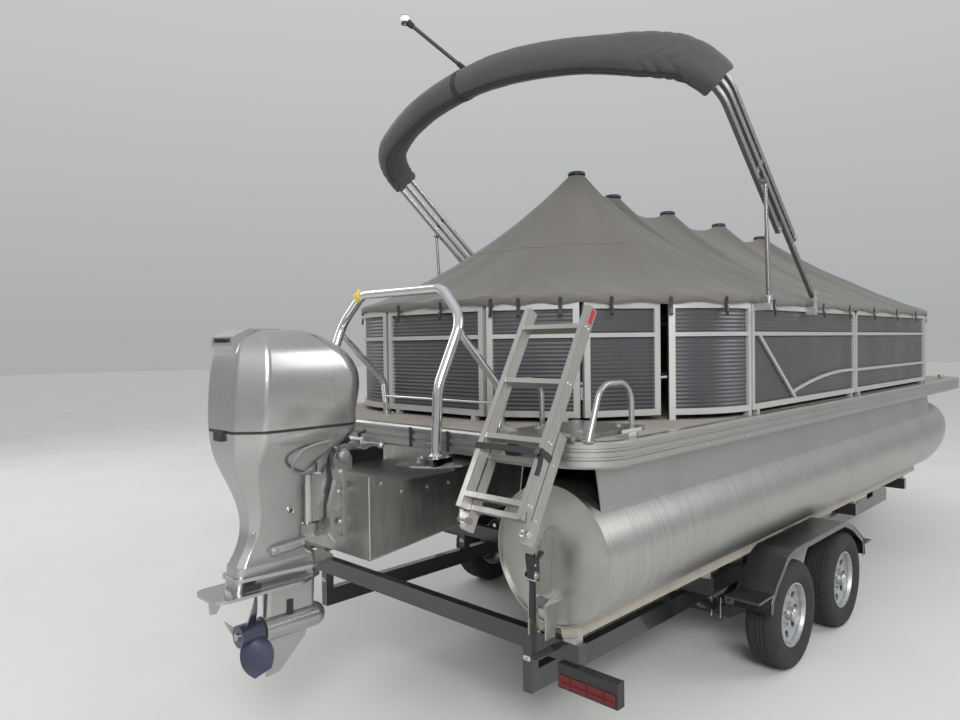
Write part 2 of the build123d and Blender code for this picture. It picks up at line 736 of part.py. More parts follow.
def top_mounts():
    face = FENCE_Y + POST / 2 + SEAT
    ear_y = TOP_HINGE[1] + TOP_TUBE / 2 + 2
    x = TOP_HINGE[0]
    z = TOP_HINGE[2]
    base = block(x - 28, x + 28, face, ear_y + 6, FENCE_TOP - 50, FENCE_TOP - 2)
    ear = block(x - 20, x + 20, ear_y, ear_y + 6, FENCE_TOP - 50, z + 20)
    pin = rod((x, ear_y + 3, z), (x, TOP_HINGE[1] - TOP_TUBE / 2 - 4, z), PIN_R)
    seat = block(STRUT_FOOT[0] - 18, STRUT_FOOT[0] + 18, face, STRUT_Y + 14, FENCE_TOP - 40, FENCE_TOP - 2)
    post = rod((STRUT_FOOT[0], STRUT_Y, FENCE_TOP - 5), (STRUT_FOOT[0], STRUT_Y, STRUT_FOOT[1] - 2), 10)
    return both_sides([base + ear + pin, seat + post])


# Outboard motor
def rounded_section(z, aft, fwd, half, r):
    return Pos((aft + fwd) / 2, 0, z) * RectangleRounded(fwd - aft, 2 * half, r)


def bevelled_section(z, aft, fwd, half, r):
    """Level cut of the motor's covers: bevelled aft corners and round forward ones."""
    bevel = half * BEVEL
    soft = half * 0.16
    points = [(aft, -half + bevel), (aft, half - bevel), (aft + bevel, half), (fwd, half), (fwd, -half),
              (aft + bevel, -half)]
    line = FilletPolyline(*points, radius=[soft, soft, soft, r, r, soft], close=True)
    return Pos(0, 0, z) * make_face(line)


def plate_outline(z, points, radii):
    """Level face that is even about the centre line; points give its +y half."""
    whole = points + [(x, -y) for x, y in reversed(points)]
    return Pos(0, 0, z) * make_face(FilletPolyline(*whole, radius=radii + radii[::-1], close=True))


def motor_cowl():
    # height, aft end, forward end, half width, forward corner radius
    rows = [
        (COWL_LOW, -1022, -420, 208, 112),
        (1700, -1017, -408, 216, 120),
        (1850, -1000, -430, 206, 118),
        (1945, -968, -545, 168, 95),
        (1990, -915, -660, 105, 60),
    ]
    shell = loft([bevelled_section(*r) for r in rows])
    scoop = prism_y([(-985, 1880), (-1006, 1925), (-1002, 1962), (-930, 1995), (-790, 1994), (-800, 1900)],
                    -92, 92)
    mouth = prism_y([(-1012, 1936), (-1012, 1952), (-950, 1974), (-950, 1944)], -74, 74)
    return shell + scoop - mouth


def motor_pan():
    """Lower cover: wide below the cowl, waisted above the splash plate."""
    rows = [
        (COVER_LOW, -985, -600, 68, 40),
        (1110, -928, -662, 66, 40),
        (1200, -926, -662, 80, 46),
        (1350, -975, -655, 120, 66),
        (1450, -1010, -548, 168, 85),
        (1560, -1022, -424, 205, 110),
    ]
    cover_shell = loft([bevelled_section(*r) for r in rows])
    seal = extrude(bevelled_section(1559, -1012, -432, 196, 102), amount=COWL_LOW - SEAT - 1559)
    arms = cover_shell + seal
    for low, high in ((1340, 1384), (1070, 1110)):
        arm = rod((STEER_X, 0, low), (STEER_X, 0, high), 50)
        arms += arm + block(-700, STEER_X, -50, 50, low, high)
    return arms - rod((STEER_X, 0, 1000), (STEER_X, 0, 1420), STEER_POST_R + RUN)


def motor_leg():
    rows = [(COVER_LOW - SEAT, -985, -600, 68, 40), (WATER_PLATE_Z, -1000, -590, 56, 36)]
    leg = loft([rounded_section(*r) for r in rows])
    splash = extrude(plate_outline(SPLASH_Z, [(-500, 58), (-640, 112), (-1000, 74)], [48, 90, 40]), amount=15)
    plate = extrude(plate_outline(WATER_PLATE_Z, [(-575, 50), (-700, 118), (-1105, 112)], [30, 60, 60]), amount=13)
    tab = prism_y([(-1085, WATER_PLATE_Z + 2), (-1080, 808), (-1055, 806), (-1010, WATER_PLATE_Z + 2)], -7, 7)
    strut_rows = [(WATER_PLATE_Z + 5, CASE_AFT + 10, -585, 34, 30), (730, CASE_AFT + 10, -590, 26, 24)]
    strut = loft([rounded_section(*r) for r in strut_rows])
    case_fwd = -590
    case = rod((CASE_AFT, 0, PROP_Z), (case_fwd, 0, PROP_Z), 56) + Pos(case_fwd, 0, PROP_Z) * Sphere(56)
    skeg = prism_y([(CASE_AFT + 12, PROP_Z), (-600, PROP_Z), (-640, 590), (-770, 470), (CASE_AFT + 16, 463)],
                   -8, 8)
    shaft = rod((PROP_X - 70, 0, PROP_Z), (CASE_AFT + 10, 0, PROP_Z), SHAFT_R)
    return leg + splash + plate + tab + strut + case + skeg + shaft


def swivel_bracket():
    post = rod((STEER_X, 0, 1064), (STEER_X, 0, 1388), STEER_POST_R)
    body = rod((STEER_X, 0, 1118), (STEER_X, 0, 1332), SWIVEL_R) + block(STEER_X, -525, -48, 48, 1118, 1332)
    top = TILT_AXIS[1]
    arm = prism_y([(STEER_X, 1240), (STEER_X, 1332), (-548, 1332), (-512, top + 22), (-452, top + 22),
                   (-452, top - 36), (-525, 1240)], -48, 48)
    tube = rod((TILT_AXIS[0], -68, top), (TILT_AXIS[0], 68, top), 30)
    ribs = [block(-560, -530, y - 5, y + 5, 1130, 1236) for y in (-50, 50)]
    bore = rod((TILT_AXIS[0], -100, top), (TILT_AXIS[0], 100, top), TILT_PIN_R + RUN)
    return post + body + arm + tube + ribs - bore


def clamp_bracket():
    face = TRANSOM_X - SEAT
    hook = TRANSOM_TOP + SEAT
    top = TILT_AXIS[1]
    profile = [(-520, 1010), (face, 1010), (face, hook), (-425, hook), (-425, top - 20), (-450, top + 22),
               (-508, top + 22), (-532, top - 15), (-516, 1300), (-552, 1180), (-552, 1060)]
    cheek = prism_y(profile, 72, 82)
    flange = prism_y(profile, 82, 100) - prism_y([(-538, 1066), (face - 14, 1030), (face - 14, 1290), (-506, 1290),
                                              (-538, 1176)], 84, 101)
    web = prism_y([(-540, 1130), (-540, 1144), (face, 1200), (face, 1186)], 80, 100)
    pin = rod((TILT_AXIS[0], -112, top), (TILT_AXIS[0], 112, top), TILT_PIN_R)
    whole = cheek + flange + web
    return whole + flip(whole) + pin


def blade_section(row):
    """Lens-shaped cut through a blade, square to its radius."""
    r, pitch, chord, thick = row
    back = ThreePointArc((-chord / 2, 0), (0, thick), (chord / 2, 0))
    lens = make_face([back, Line((chord / 2, 0), (-chord / 2, 0))])
    place = Plane(origin=(PROP_X - 8, 0, PROP_Z + r), x_dir=(sin(radians(pitch)), cos(radians(pitch)), 0),
                  z_dir=(0, 0, 1))
    return place * lens


def propeller():
    hub = rod((PROP_X - 60, 0, PROP_Z), (PROP_X + 45, 0, PROP_Z), HUB_R)
    # radius, pitch angle from the disc, chord, thickness
    rows = [(HUB_R * 0.6, 62, 84, 14), (PROP_R * 0.62, 42, 150, 9), (PROP_R, 28, 90, 4)]
    blade = loft([blade_section(row) for row in rows])
    shape = hub
    for k in range(3):
        shape += blade.rotate(Axis((PROP_X, 0, PROP_Z), (1, 0, 0)), 120 * k + 20)
    return shape - rod((PROP_X - 75, 0, PROP_Z), (PROP_X + 60, 0, PROP_Z), SHAFT_R + RUN)


def motor_pod():
    side = [(TRANSOM_X, TRANSOM_BOTTOM), (TRANSOM_X, TRANSOM_TOP), (TRANSOM_X + 35, TRANSOM_TOP),
            (TRANSOM_X + 35, POD_WELL), (60, POD_WELL), (60, MEMBER_BOTTOM), (POD_FWD, MEMBER_BOTTOM),
            (POD_FWD, MEMBER_BOTTOM - 60), (260, 1030)]
    return prism_y(side, -POD_HALF, POD_HALF)


# Tow bar on its stern plates
def tow_bar():
    half = [(-215, TOW_Y, PLATE_TOP + 30), (-200, TOW_Y, 1720), (-60, TOW_Y + 20, 2040), (-40, 320, 2190)]
    points = half + [(x, -y, z) for x, y, z in reversed(half)]
    shape = bent_tube(points, [260, 170, 110, 110, 170, 260], TOW_R)
    for side in (1, -1):
        foot = (BRACE_FOOT_X, side * TOW_Y, DECK_TOP + SEAT)
        bend = (BRACE_FOOT_X - 20, side * TOW_Y, 1712)
        brace = bent_tube([(-85, side * (TOW_Y + 16), 1985), bend, foot], 110, BRACE_R)
        brace -= block(foot[0] - 90, foot[0] + 90, foot[1] - 60, foot[1] + 60, DECK_TOP - 80, foot[2])
        shape += brace
        shape += rod(foot, (foot[0], foot[1], DECK_TOP + 8), 42)
        low, high = sorted((side * (TOW_Y - 55), side * (TOW_Y + 55)))
        shape += block(-285, -165, low, high, PLATE_TOP + SEAT, PLATE_TOP + 34)
    x = BRACE_FOOT_X - 8
    return shape + rod((x, -TOW_Y, 1620), (x, TOW_Y, 1620), WIRE_R)


def tow_plates():
    parts = []
    first = MEMBER_FIRST + MEMBER_W
    for side in (1, -1):
        y0 = side * (POD_HALF + SEAT)
        y1 = side * 560
        plate = prism_z([(-320, y0), (-320, side * 400), (-260, side * 500), (-150, y1), (first, y1), (first, y0)],
                        PLATE_TOP - PLATE_T, PLATE_TOP)
        low, high = sorted((y0, y1))
        parts.append(plate + block(MEMBER_FIRST, first, low, high, PLATE_TOP - 1, MEMBER_BOTTOM - SEAT))
    return parts


def grab_rails():
    parts = []
    low = DECK_TOP + SEAT
    high = DECK_TOP + GRAB_RISE
    aft, fwd = GRAB_X
    for y in GRAB_Y:
        points = [(aft, y, low), (aft + GRAB_SLOPE, y, high), (fwd, y, high), (fwd, y, low)]
        arch = bent_tube(points, GRAB_BEND, GRAB_R)
        arch -= block(aft - 100, fwd + 100, y - 4 * GRAB_R, y + 4 * GRAB_R, low - 8 * GRAB_R, low)
        for x in GRAB_X:
            arch += rod((x, y, low), (x, y, low + 6), GRAB_R * 2.2)
        parts.append(arch)
    return parts


def cleats():
    parts = []
    for x, inset in zip(CLEAT_X, CLEAT_IN):
        y = BEAM / 2 - inset
        base = block(x - 30, x + 30, y - 14, y + 14, DECK_TOP + SEAT, DECK_TOP + 22)
        horn = bar((x - 75, y, DECK_TOP + 30), (x + 75, y, DECK_TOP + 30), 20, 16)
        parts += both_sides(base + horn)
    return parts


# Stern fittings: cap of the fascia's round opening and the trims over the fascia's joints
def stern_fittings():
    face = DECK_AFT - SEAT
    y = -808
    z = 1452
    ring = rod((face, y, z), (face - 9, y, z), 36) - rod((face - 20, y, z), (face - 4, y, z), 25)
    trims = [block(face - 4, face, y - 9, y + 9, RAIL_BOTTOM + 6, DECK_TOP - 6) for y in (-130, -400)]
    return [ring] + trims


# Boarding ladder: fixed upper section on the deck, folding section lying along it
LAD = (sin(radians(LADDER_LEAN)), cos(radians(LADDER_LEAN)))


def ladder_point(s, off, y):
    """Point at s up the folding section, off towards the bow, square to it."""
    return (LADDER_FOOT[0] + LAD[0] * s + LAD[1] * off, y, LADDER_FOOT[1] + LAD[1] * s - LAD[0] * off)


def grooved_bar(p, q, wide, deep):
    """Rail with lengthwise grooves in both of its broad faces."""
    pitch = deep / (LADDER_GROOVES + 1)
    edge = [(wide / 2, -deep / 2)]
    for k in range(LADDER_GROOVES):
        v = -deep / 2 + (k + 1) * pitch
        edge += [(wide / 2, v - pitch * 0.25), (wide / 2 - LADDER_GROOVE, v), (wide / 2, v + pitch * 0.25)]
    edge.append((wide / 2, deep / 2))
    face = make_face(Polyline(*edge, *[(-u, -v) for u, v in edge], close=True))
    axis = Vector(*q) - Vector(*p)
    return Plane(origin=p, x_dir=(0, 1, 0), z_dir=axis) * extrude(face, amount=axis.length)


def ladder_section(s0, s1, off, rungs):
    wide, deep = LADDER_RAIL
    shape = None
    for side in (1, -1):
        y = LADDER_Y + side * LADDER_W / 2
        rail = grooved_bar(ladder_point(s0, off, y), ladder_point(s1, off, y), wide, deep)
        shape = rail if shape is None else shape + rail
    for s in rungs:
        p = ladder_point(s, off, LADDER_Y - LADDER_W / 2)
        q = ladder_point(s, off, LADDER_Y + LADDER_W / 2)
        shape += bar(p, q, RUNG[0], RUNG[1], (LAD[0], 0, LAD[1]))
    return shape


def ladder_lug(off_from, s_from, y, thick):
    pivot = ladder_point(LADDER_PIVOT, LADDER_OFF / 2, 0)
    start = ladder_point(s_from, off_from, 0)
    lug = bar((start[0], y, start[2]), (pivot[0], y, pivot[2]), thick, 26)
    return lug + rod((pivot[0], y - thick / 2, pivot[2]), (pivot[0], y + thick / 2, pivot[2]), 13)


def ladder_folding():
    wide = LADDER_RAIL[0]
    shape = ladder_section(0, LADDER_LONG, 0, (60, 320, 580, 840))
    pivot = ladder_point(LADDER_PIVOT, LADDER_OFF / 2, 0)
    for side in (1, -1):
        y = LADDER_Y + side * (LADDER_W / 2 + wide / 2 + 2.5)
        shape += ladder_lug(0, 40, y, 5)
    return shape - rod((pivot[0], -3000, pivot[2]), (pivot[0], 0, pivot[2]), LADDER_PIN_R + RUN)


def ladder_upper():
    wide = LADDER_RAIL[0]
    shape = ladder_section(LADDER_UPPER[0], LADDER_UPPER[1], LADDER_OFF, (20, 250))
    pivot = ladder_point(LADDER_PIVOT, LADDER_OFF / 2, 0)
    for side in (1, -1):
        y = LADDER_Y + side * (LADDER_W / 2 - wide / 2 - 2.5)
        shape += ladder_lug(LADDER_OFF, LADDER_PIVOT, y, 5)
        far = LADDER_Y + side * (LADDER_W / 2 + wide / 2 + 8)
        shape += rod((pivot[0], y, pivot[2]), (pivot[0], far, pivot[2]), LADDER_PIN_R)
    return shape


def ladder_base():
    y0 = LADDER_Y - LADDER_W / 2 - 30
    y1 = LADDER_Y + LADDER_W / 2 + 30
    low = DECK_TOP + SEAT
    shape = block(-80, 470, y0, y1, low, DECK_TOP + 22)
    ear = [(-80, low), (-20, low), (-20, low + 22), (-110, low + 46), (-143, low + 32), (-143, low - 14),
           (DECK_AFT - 4, low - 14), (DECK_AFT - 4, low)]
    for side in (1, -1):
        y = LADDER_Y + side * (LADDER_W / 2 - LADDER_RAIL[0] / 2 - SEAT - 3)
        shape += prism_y(ear, y - 3, y + 3)
    return shape


# Trailer
def tyre(x, side):
    half = TYRE_W / 2
    profile = [(RIM_R, -half + 22), (RIM_R + 30, -half + 6), (RIM_R + 75, -half), (TYRE_R - 22, -half + 8),
               (TYRE_R - 6, -half + 22), (TYRE_R, -half + 36), (TYRE_R, half - 36), (TYRE_R - 6, half - 22),
               (TYRE_R - 22, half - 8), (RIM_R + 75, half), (RIM_R + 30, half - 6), (RIM_R, half - 22)]
    section = Plane.XY * make_face(Polyline(*profile, close=True))
    ring = revolve(section, axis=Axis.Y)
    return Pos(x, side * WHEEL_Y, TYRE_R) * ring


def rim(x, side):
    r = RIM_R - SEAT
    half = RIM_W / 2
    # the dished rim, its spoke disc and hub with a blind bore
    barrel = [(r, -half), (r, half), (r - 10, half), (r - 16, half - 20), (r - 16, -half + 20), (r - 10, -half)]
    ring = revolve(Plane.XY * make_face(Polyline(*barrel, close=True)), axis=Axis.Y)
    disc_y = 18.0
    disc = [(0, disc_y), (0, disc_y + 55), (34, disc_y + 55), (40, disc_y + 20), (95, disc_y + 8),
            (r - 14, disc_y + 26), (r - 14, disc_y + 16), (95, disc_y), (60, disc_y), (60, disc_y - 60),
            (0, disc_y - 60)]
    wheel = revolve(Plane.XY * make_face(Polyline(*disc, close=True)), axis=Axis.Y)
    wheel = ring + wheel
    for k in range(8):
        a = 45 * k
        slot = Pos(125 * cos(radians(a)), disc_y + 20, 125 * sin(radians(a))) * Rot(90, 0, 0) * Cylinder(20, 80)
        wheel -= slot
    bore = rod((0, disc_y - 80, 0), (0, disc_y + 40, 0), SPINDLE_R + RUN)
    wheel -= bore
    if side < 0:
        wheel = mirror(wheel, about=Plane.XZ)
    return Pos(x, side * WHEEL_Y, TYRE_R) * wheel


def axles():
    parts = []
    for x in AXLE_X:
        shape = None
        for side in (1, -1):
            y_hub = WHEEL_Y - 44
            drop = prism_x([(0, 205), (side * 880, 205), (side * 1010, TYRE_R - 30), (side * 1060, TYRE_R - 30),
                            (side * 1060, TYRE_R + 30), (side * 990, TYRE_R + 30), (side * 860, 265), (0, 265)],
                           x - 30, x + 30)
            spindle = rod((x, side * 1050, TYRE_R), (x, side * (WHEEL_Y + 50), TYRE_R), SPINDLE_R)
            shape = drop if shape is None else shape + drop
            shape += spindle
        parts.append(shape)
        for side in (1, -1):
            y = side * FRAME_Y
            leaf = prism_y([(x - 330, FRAME_LOW - 20), (x - 330, FRAME_LOW), (x - 290, FRAME_LOW),
                            (x - 120, 297), (x + 120, 297), (x + 290, FRAME_LOW), (x + 330, FRAME_LOW),
                            (x + 330, FRAME_LOW - 20), (x + 120, 265 + SEAT), (x - 120, 265 + SEAT)], y - 25, y + 25)
            parts.append(leaf)
    return parts


def trailer_frame():
    top = FRAME_LOW + FRAME_H
    half = FRAME_W / 2
    side_rail = block(FRAME_AFT, FRAME_BEND, FRAME_Y - half, FRAME_Y + half, FRAME_LOW, top)
    x0 = FRAME_BEND + SEAT
    taper = prism_z([(x0, FRAME_Y - half), (TONGUE_X, TONGUE_HALF + SEAT), (TONGUE_X + 110, TONGUE_HALF + SEAT),
                     (x0, FRAME_Y + half)], FRAME_LOW, top)
    tongue = block(TONGUE_X - 150, TONGUE_END, -TONGUE_HALF, TONGUE_HALF, FRAME_LOW, top)
    return both_sides([side_rail, taper]) + [tongue]


def trailer_beams():
    top = FRAME_LOW + FRAME_H
    parts = []
    for x in BEAM_X:
        parts.append(block(x - 25, x + 25, -BEAM_HALF, BEAM_HALF, BEAM_LOW, BEAM_LOW + BEAM_H))
        parts += both_sides(block(x - 25, x + 25, FRAME_Y - 25, FRAME_Y + 25, top + SEAT, BEAM_LOW - SEAT))
    return parts


def bunks():
    tilt = asin(BUNK_OUT / TUBE_R)
    parts = []
    for side in (1, -1):
        for out in (1, -1):
            reach = TUBE_R + SEAT + BUNK_T / 2
            y = side * TUBE_Y + out * sin(tilt) * reach
            z = TUBE_Z - cos(tilt) * reach
            section = Pos(0, y, z) * Rot(degrees(tilt) * out, 0, 0) * Box(BUNK_FWD - BUNK_AFT, BUNK_W, BUNK_T)
            parts.append(Pos((BUNK_FWD + BUNK_AFT) / 2, 0, 0) * section)
    return parts


def bunk_brackets():
    tilt = asin(BUNK_OUT / TUBE_R)
    parts = []
    for x in BEAM_X:
        for side in (1, -1):
            for out in (1, -1):
                reach = TUBE_R + SEAT + BUNK_T + SEAT
                yc = side * TUBE_Y + out * sin(tilt) * reach
                zc = TUBE_Z - cos(tilt) * reach
                dy = out * cos(tilt) * 35
                dz = sin(tilt) * 35
                low = BEAM_LOW + BEAM_H
                pts = [(yc - dy, zc - dz), (yc + dy, zc + dz), (yc + dy, low), (yc - dy, low)]
                parts.append(prism_x(pts, x - 25, x + 25))
    return parts


def fenders():
    rear, front = AXLE_X
    # outline of the teardrop's outer edge, aft to front
    edge = [(rear - 406, 432), (rear - 389, 500), (rear - 327, 575), (rear - 175, 689), (rear - 80, 717),
            (front - 70, 717), (front + 97, 659), (front + 308, 534), (front + 338, 417)]
    ring = edge + offset_outline(edge, FENDER_T)[::-1]
    lip = edge + offset_outline(edge, FENDER_LIP)[::-1]
    shape = prism_y(ring, FENDER_IN, FENDER_OUT) + prism_y(lip, FENDER_OUT - FENDER_T, FENDER_OUT)
    # first and last x of each step, and its lower face
    for x0, x1, low in ((rear - 556, rear - 364, 520), (front + 318, front + 476, 480)):
        shape += block(x0, x1, FENDER_IN + 20, FENDER_OUT, low, low + STEP_H)
    middle = (rear + front) / 2
    shape += block(middle - 90, middle + 90, FENDER_IN, FENDER_IN + 6, BEAM_LOW + 10, 715)
    return both_sides(shape)


def offset_outline(points, distance):
    """Same outline moved inwards, to the right of its direction of travel."""
    moved = []
    for i, (x, z) in enumerate(points):
        x0, z0 = points[max(i - 1, 0)]
        x1, z1 = points[min(i + 1, len(points) - 1)]
        length = hypot(x1 - x0, z1 - z0)
        moved.append((x + (z1 - z0) / length * distance, z - (x1 - x0) / length * distance))
    return moved


def tail_lights():
    """Black lamp boxes, open behind for their lenses."""
    parts = []
    for side in (1, -1):
        y0, y1 = sorted(side * y for y in LAMP_Y)
        box = block(-20, 28, y0, y1, BEAM_LOW - LAMP_H, BEAM_LOW - SEAT)
        parts.append(box - block(-30, -20 + LENS_T, y0 + 8, y1 - 8, BEAM_LOW - LAMP_H + 8, BEAM_LOW - 45))
    return parts


def tail_lenses():
    parts = []
    gap = 8 + SEAT
    for side in (1, -1):
        y0, y1 = sorted(side * y for y in LAMP_Y)
        low = BEAM_LOW - LAMP_H + gap
        parts.append(block(-24, -20 + LENS_T - SEAT, y0 + gap, y1 - gap, low, BEAM_LOW - 45 - SEAT))
    return parts


# Straps that hold the tubes' fins down to the rear beam, each with its ratchet
def tie_straps():
    x, z = STRAP_EYE
    aft = -FIN_REACH - SEAT - 14
    y = TUBE_Y
    half = STRAP_W / 2
    hook = rod((x, y - 17, z), (x, y + 17, z), HOOK_R)
    for side in (1, -1):
        hook += bar((x + 6, y + side * 14, z), (aft, y + side * 14, z - 26), 4, 14)
    ratchet = block(aft - 24, aft + 12, y - 19, y + 19, z - 112, z - 20) + bar(
        (aft - 20, y, z - 100), (aft - 34, y, z + 6), 34, 9)
    web = bar((aft - 6, y, z - 100), (aft - 6, y, BEAM_LOW + 44), STRAP_W, STRAP_T)
    tail = bar((aft - 16, y, z - 100), (aft - 22, y, z - 268), STRAP_W, STRAP_T)
    foot = block(aft - 12, -SEAT, y - half, y + half, BEAM_LOW + 30, BEAM_LOW + 46)
    return both_sides(hook + ratchet + web + tail + foot)


def coupler():
    body = block(TONGUE_END - 60, TONGUE_END + 60, -50, 50, FRAME_LOW + 20, FRAME_LOW + FRAME_H)
    head = Pos(TONGUE_END + 120, 0, FRAME_LOW + 20) * Cylinder(
        45, 75, align=(Align.CENTER, Align.CENTER, Align.MIN))
    neck = block(TONGUE_END + 40, TONGUE_END + 120, -30, 30, FRAME_LOW + 40, FRAME_LOW + 90)
    socket = rod((TONGUE_END + 120, 0, FRAME_LOW), (TONGUE_END + 120, 0, FRAME_LOW + 70), 25.8)
    sleeve = block(TONGUE_END - 80, TONGUE_END + SEAT, -TONGUE_HALF - SEAT, TONGUE_HALF + SEAT, FRAME_LOW, 900)
    return body - sleeve + neck + head - socket


def winch_stand():
    low = FRAME_LOW + FRAME_H + SEAT
    shape = block(STAND_X - 60, STAND_X + 60, -60, 60, low, low + 10)
    for side in (1, -1):
        shape += bar((STAND_X, side * 30, low + 5), (STAND_X - STAND_LEAN, side * 150, STAND_TOP), 45, 45)
    for share in (0.35, 0.6, 0.80):
        x = STAND_X - STAND_LEAN * share
        z = low + (STAND_TOP - low) * share
        y = 30 + 120 * share
        shape += block(x - 40, x + 90, -y, y, z - 10, z + 10)
    shape -= block(STAND_X - 400, STAND_X + 400, -400, 400, 0, low)
    return shape + block(DECK_FWD + SEAT, STAND_X - STAND_LEAN + 20, -220, 220, STAND_TOP - 60, STAND_TOP + 30)


def winch():
    low = FRAME_LOW + FRAME_H + SEAT
    x = STAND_X - STAND_LEAN * 0.80
    z = low + (STAND_TOP - low) * 0.80 + 10 + SEAT
    base = block(x - 30, x + 80, -52, 52, z, z + 6)
    cheeks = [block(x - 26, x + 76, y - 3, y + 3, z, z + 110) for y in (-46, 46)]
    drum = rod((x + 24, -50, z + 66), (x + 24, 50, z + 66), 24)
    crank = bar((x + 24, 62, z + 66), (x + 24, 62, z + 196), 8, 22)
    crank += rod((x + 24, 40, z + 66), (x + 24, 66, z + 66), 9)
    grip = rod((x + 24, 62, z + 186), (x + 24, 150, z + 186), 12)
    return base + cheeks + drum + crank + grip


def jack():
    y = 100
    tube = rod((JACK_X, y, 90), (JACK_X, y, 760), 28)
    bracket = block(JACK_X - 40, JACK_X + 40, 38 + SEAT, y, FRAME_LOW + 10, FRAME_LOW + 90)
    fork = block(JACK_X - 30, JACK_X + 30, y - 32, y + 32, 90, 130)
    wheel = Pos(JACK_X, y, 70) * Rot(90, 0, 0) * Cylinder(70, 50)
    return tube + bracket + fork + wheel


def build():
    frames, skins = fence()
    gate_frame, gate_skin = gate_leaf(rear_gate_line())
    bow_frame, bow_skin = gate_leaf(bow_gate_line())
    nodes = {
        "pontoons": both_sides(pontoon()),
        "tube_risers": both_sides(risers()),
        "cross_members": cross_members(),
        "deck": deck(),
        "deck_rails": deck_rails(),
        "stern_trim": stern_trim(),
        "fence_frames": frames,
        "fence_skins": skins,
        "rear_gate_frame": gate_frame,
        "rear_gate_skin": gate_skin,
        "bow_gate_frame": bow_frame,
        "bow_gate_skin": bow_skin,
        "cover": cover(),
        "cover_poles": cover_poles(),
        "tow_bar": tow_bar(),
        "tow_plates": tow_plates(),
        "grab_rails": grab_rails(),
        "cleats": cleats(),
        "stern_fittings": stern_fittings(),
        "ladder_base": ladder_base(),
        "ladder_upper": ladder_upper(),
        "ladder_folding": ladder_folding(),
        "motor_pod": motor_pod(),
        "clamp_bracket": clamp_bracket(),
        "swivel_bracket": swivel_bracket(),
        "motor_leg": motor_leg(),
        "motor_pan": motor_pan(),
        "motor_cowl": motor_cowl(),
        "propeller": propeller(),
        "top_frame": top_frame(),
        "top_boot": top_boot(),
        "light_pole": light_pole(),
        "top_struts": struts(),
        "top_mounts": top_mounts(),
        "trailer_frame": trailer_frame(),
        "trailer_beams": trailer_beams(),
        "bunks": bunks(),
        "bunk_brackets": bunk_brackets(),
        "running_gear": axles(),
        "fenders": fenders(),
        "tail_lights": tail_lights(),
        "tail_lenses": tail_lenses(),
        "tie_straps": tie_straps(),
        "coupler": coupler(),
        "winch_stand": winch_stand(),
        "winch": winch(),
        "jack": jack(),
    }
    for side, word in ((PORT, "port"), (STARBOARD, "starboard")):
        for x, place in zip(AXLE_X, ("rear", "front")):
            nodes[f"tyre_{word}_{place}"] = tyre(x, side)
            nodes[f"rim_{word}_{place}"] = rim(x, side)
    return nodes


def export(nodes):
    os.makedirs("parts", exist_ok=True)
    boxes = []
    for shape in nodes.values():
        for piece in shape if isinstance(shape, list) else [shape]:
            boxes.append(piece.bounding_box())
    low = min(b.min.X for b in boxes)
    high = max(b.max.X for b in boxes)
    middle = (low + high) / 2
    print("middle of the length", round(middle, 3), "from", round(low, 2), "to", round(high, 2))
    for name, shape in nodes.items():
        solids = []
        for piece in shape if isinstance(shape, list) else [shape]:
            solids += list(piece.solids())
        moved = [Pos(-middle, 0, 0) * s for s in solids]
        result = moved[0] if len(moved) == 1 else Compound(children=moved)
        export_step(result, f"parts/{name}.step")


export(build())
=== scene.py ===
"""Looks of the pontoon boat on its trailer. Metres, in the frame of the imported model.

Lengths that are written as the boat is drawn, with x = 0 at the tubes' aft caps, go through at().
"""
import json
import math

import bmesh
import bpy
import numpy as np
from mathutils import Matrix, Vector, noise


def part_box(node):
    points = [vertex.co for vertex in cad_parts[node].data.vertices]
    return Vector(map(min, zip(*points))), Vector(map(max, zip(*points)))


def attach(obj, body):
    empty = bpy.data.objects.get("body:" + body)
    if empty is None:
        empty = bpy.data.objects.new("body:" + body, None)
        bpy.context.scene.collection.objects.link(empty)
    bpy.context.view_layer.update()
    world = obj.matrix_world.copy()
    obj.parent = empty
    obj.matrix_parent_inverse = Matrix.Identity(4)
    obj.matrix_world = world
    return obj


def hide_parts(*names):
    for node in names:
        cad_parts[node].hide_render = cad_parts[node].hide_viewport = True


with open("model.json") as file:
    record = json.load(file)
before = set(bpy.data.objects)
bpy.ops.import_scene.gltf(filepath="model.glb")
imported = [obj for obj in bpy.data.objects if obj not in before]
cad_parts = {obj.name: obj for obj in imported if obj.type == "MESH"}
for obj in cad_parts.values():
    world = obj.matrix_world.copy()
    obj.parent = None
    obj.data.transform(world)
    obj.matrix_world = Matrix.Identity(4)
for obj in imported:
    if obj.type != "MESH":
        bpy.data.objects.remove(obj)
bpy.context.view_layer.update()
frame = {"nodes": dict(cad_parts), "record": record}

NODES = frame["nodes"]
# the tubes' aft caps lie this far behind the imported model's x = 0
SHIFT = 3.390


def at(x, y, z):
    return Vector((x - SHIFT, y, z))


# Camera, from the photograph's view
CAMERA_AT = (-2.421, -2.896, 1.921)
CAMERA_YAW = 44.326
CAMERA_PITCH = -1.325
CAMERA_ROLL = 0.742
FOCAL_PX = 724.05
FRAME_PX = 960.0
SENSOR = 36.0


def link(obj):
    bpy.context.scene.collection.objects.link(obj)
    return obj


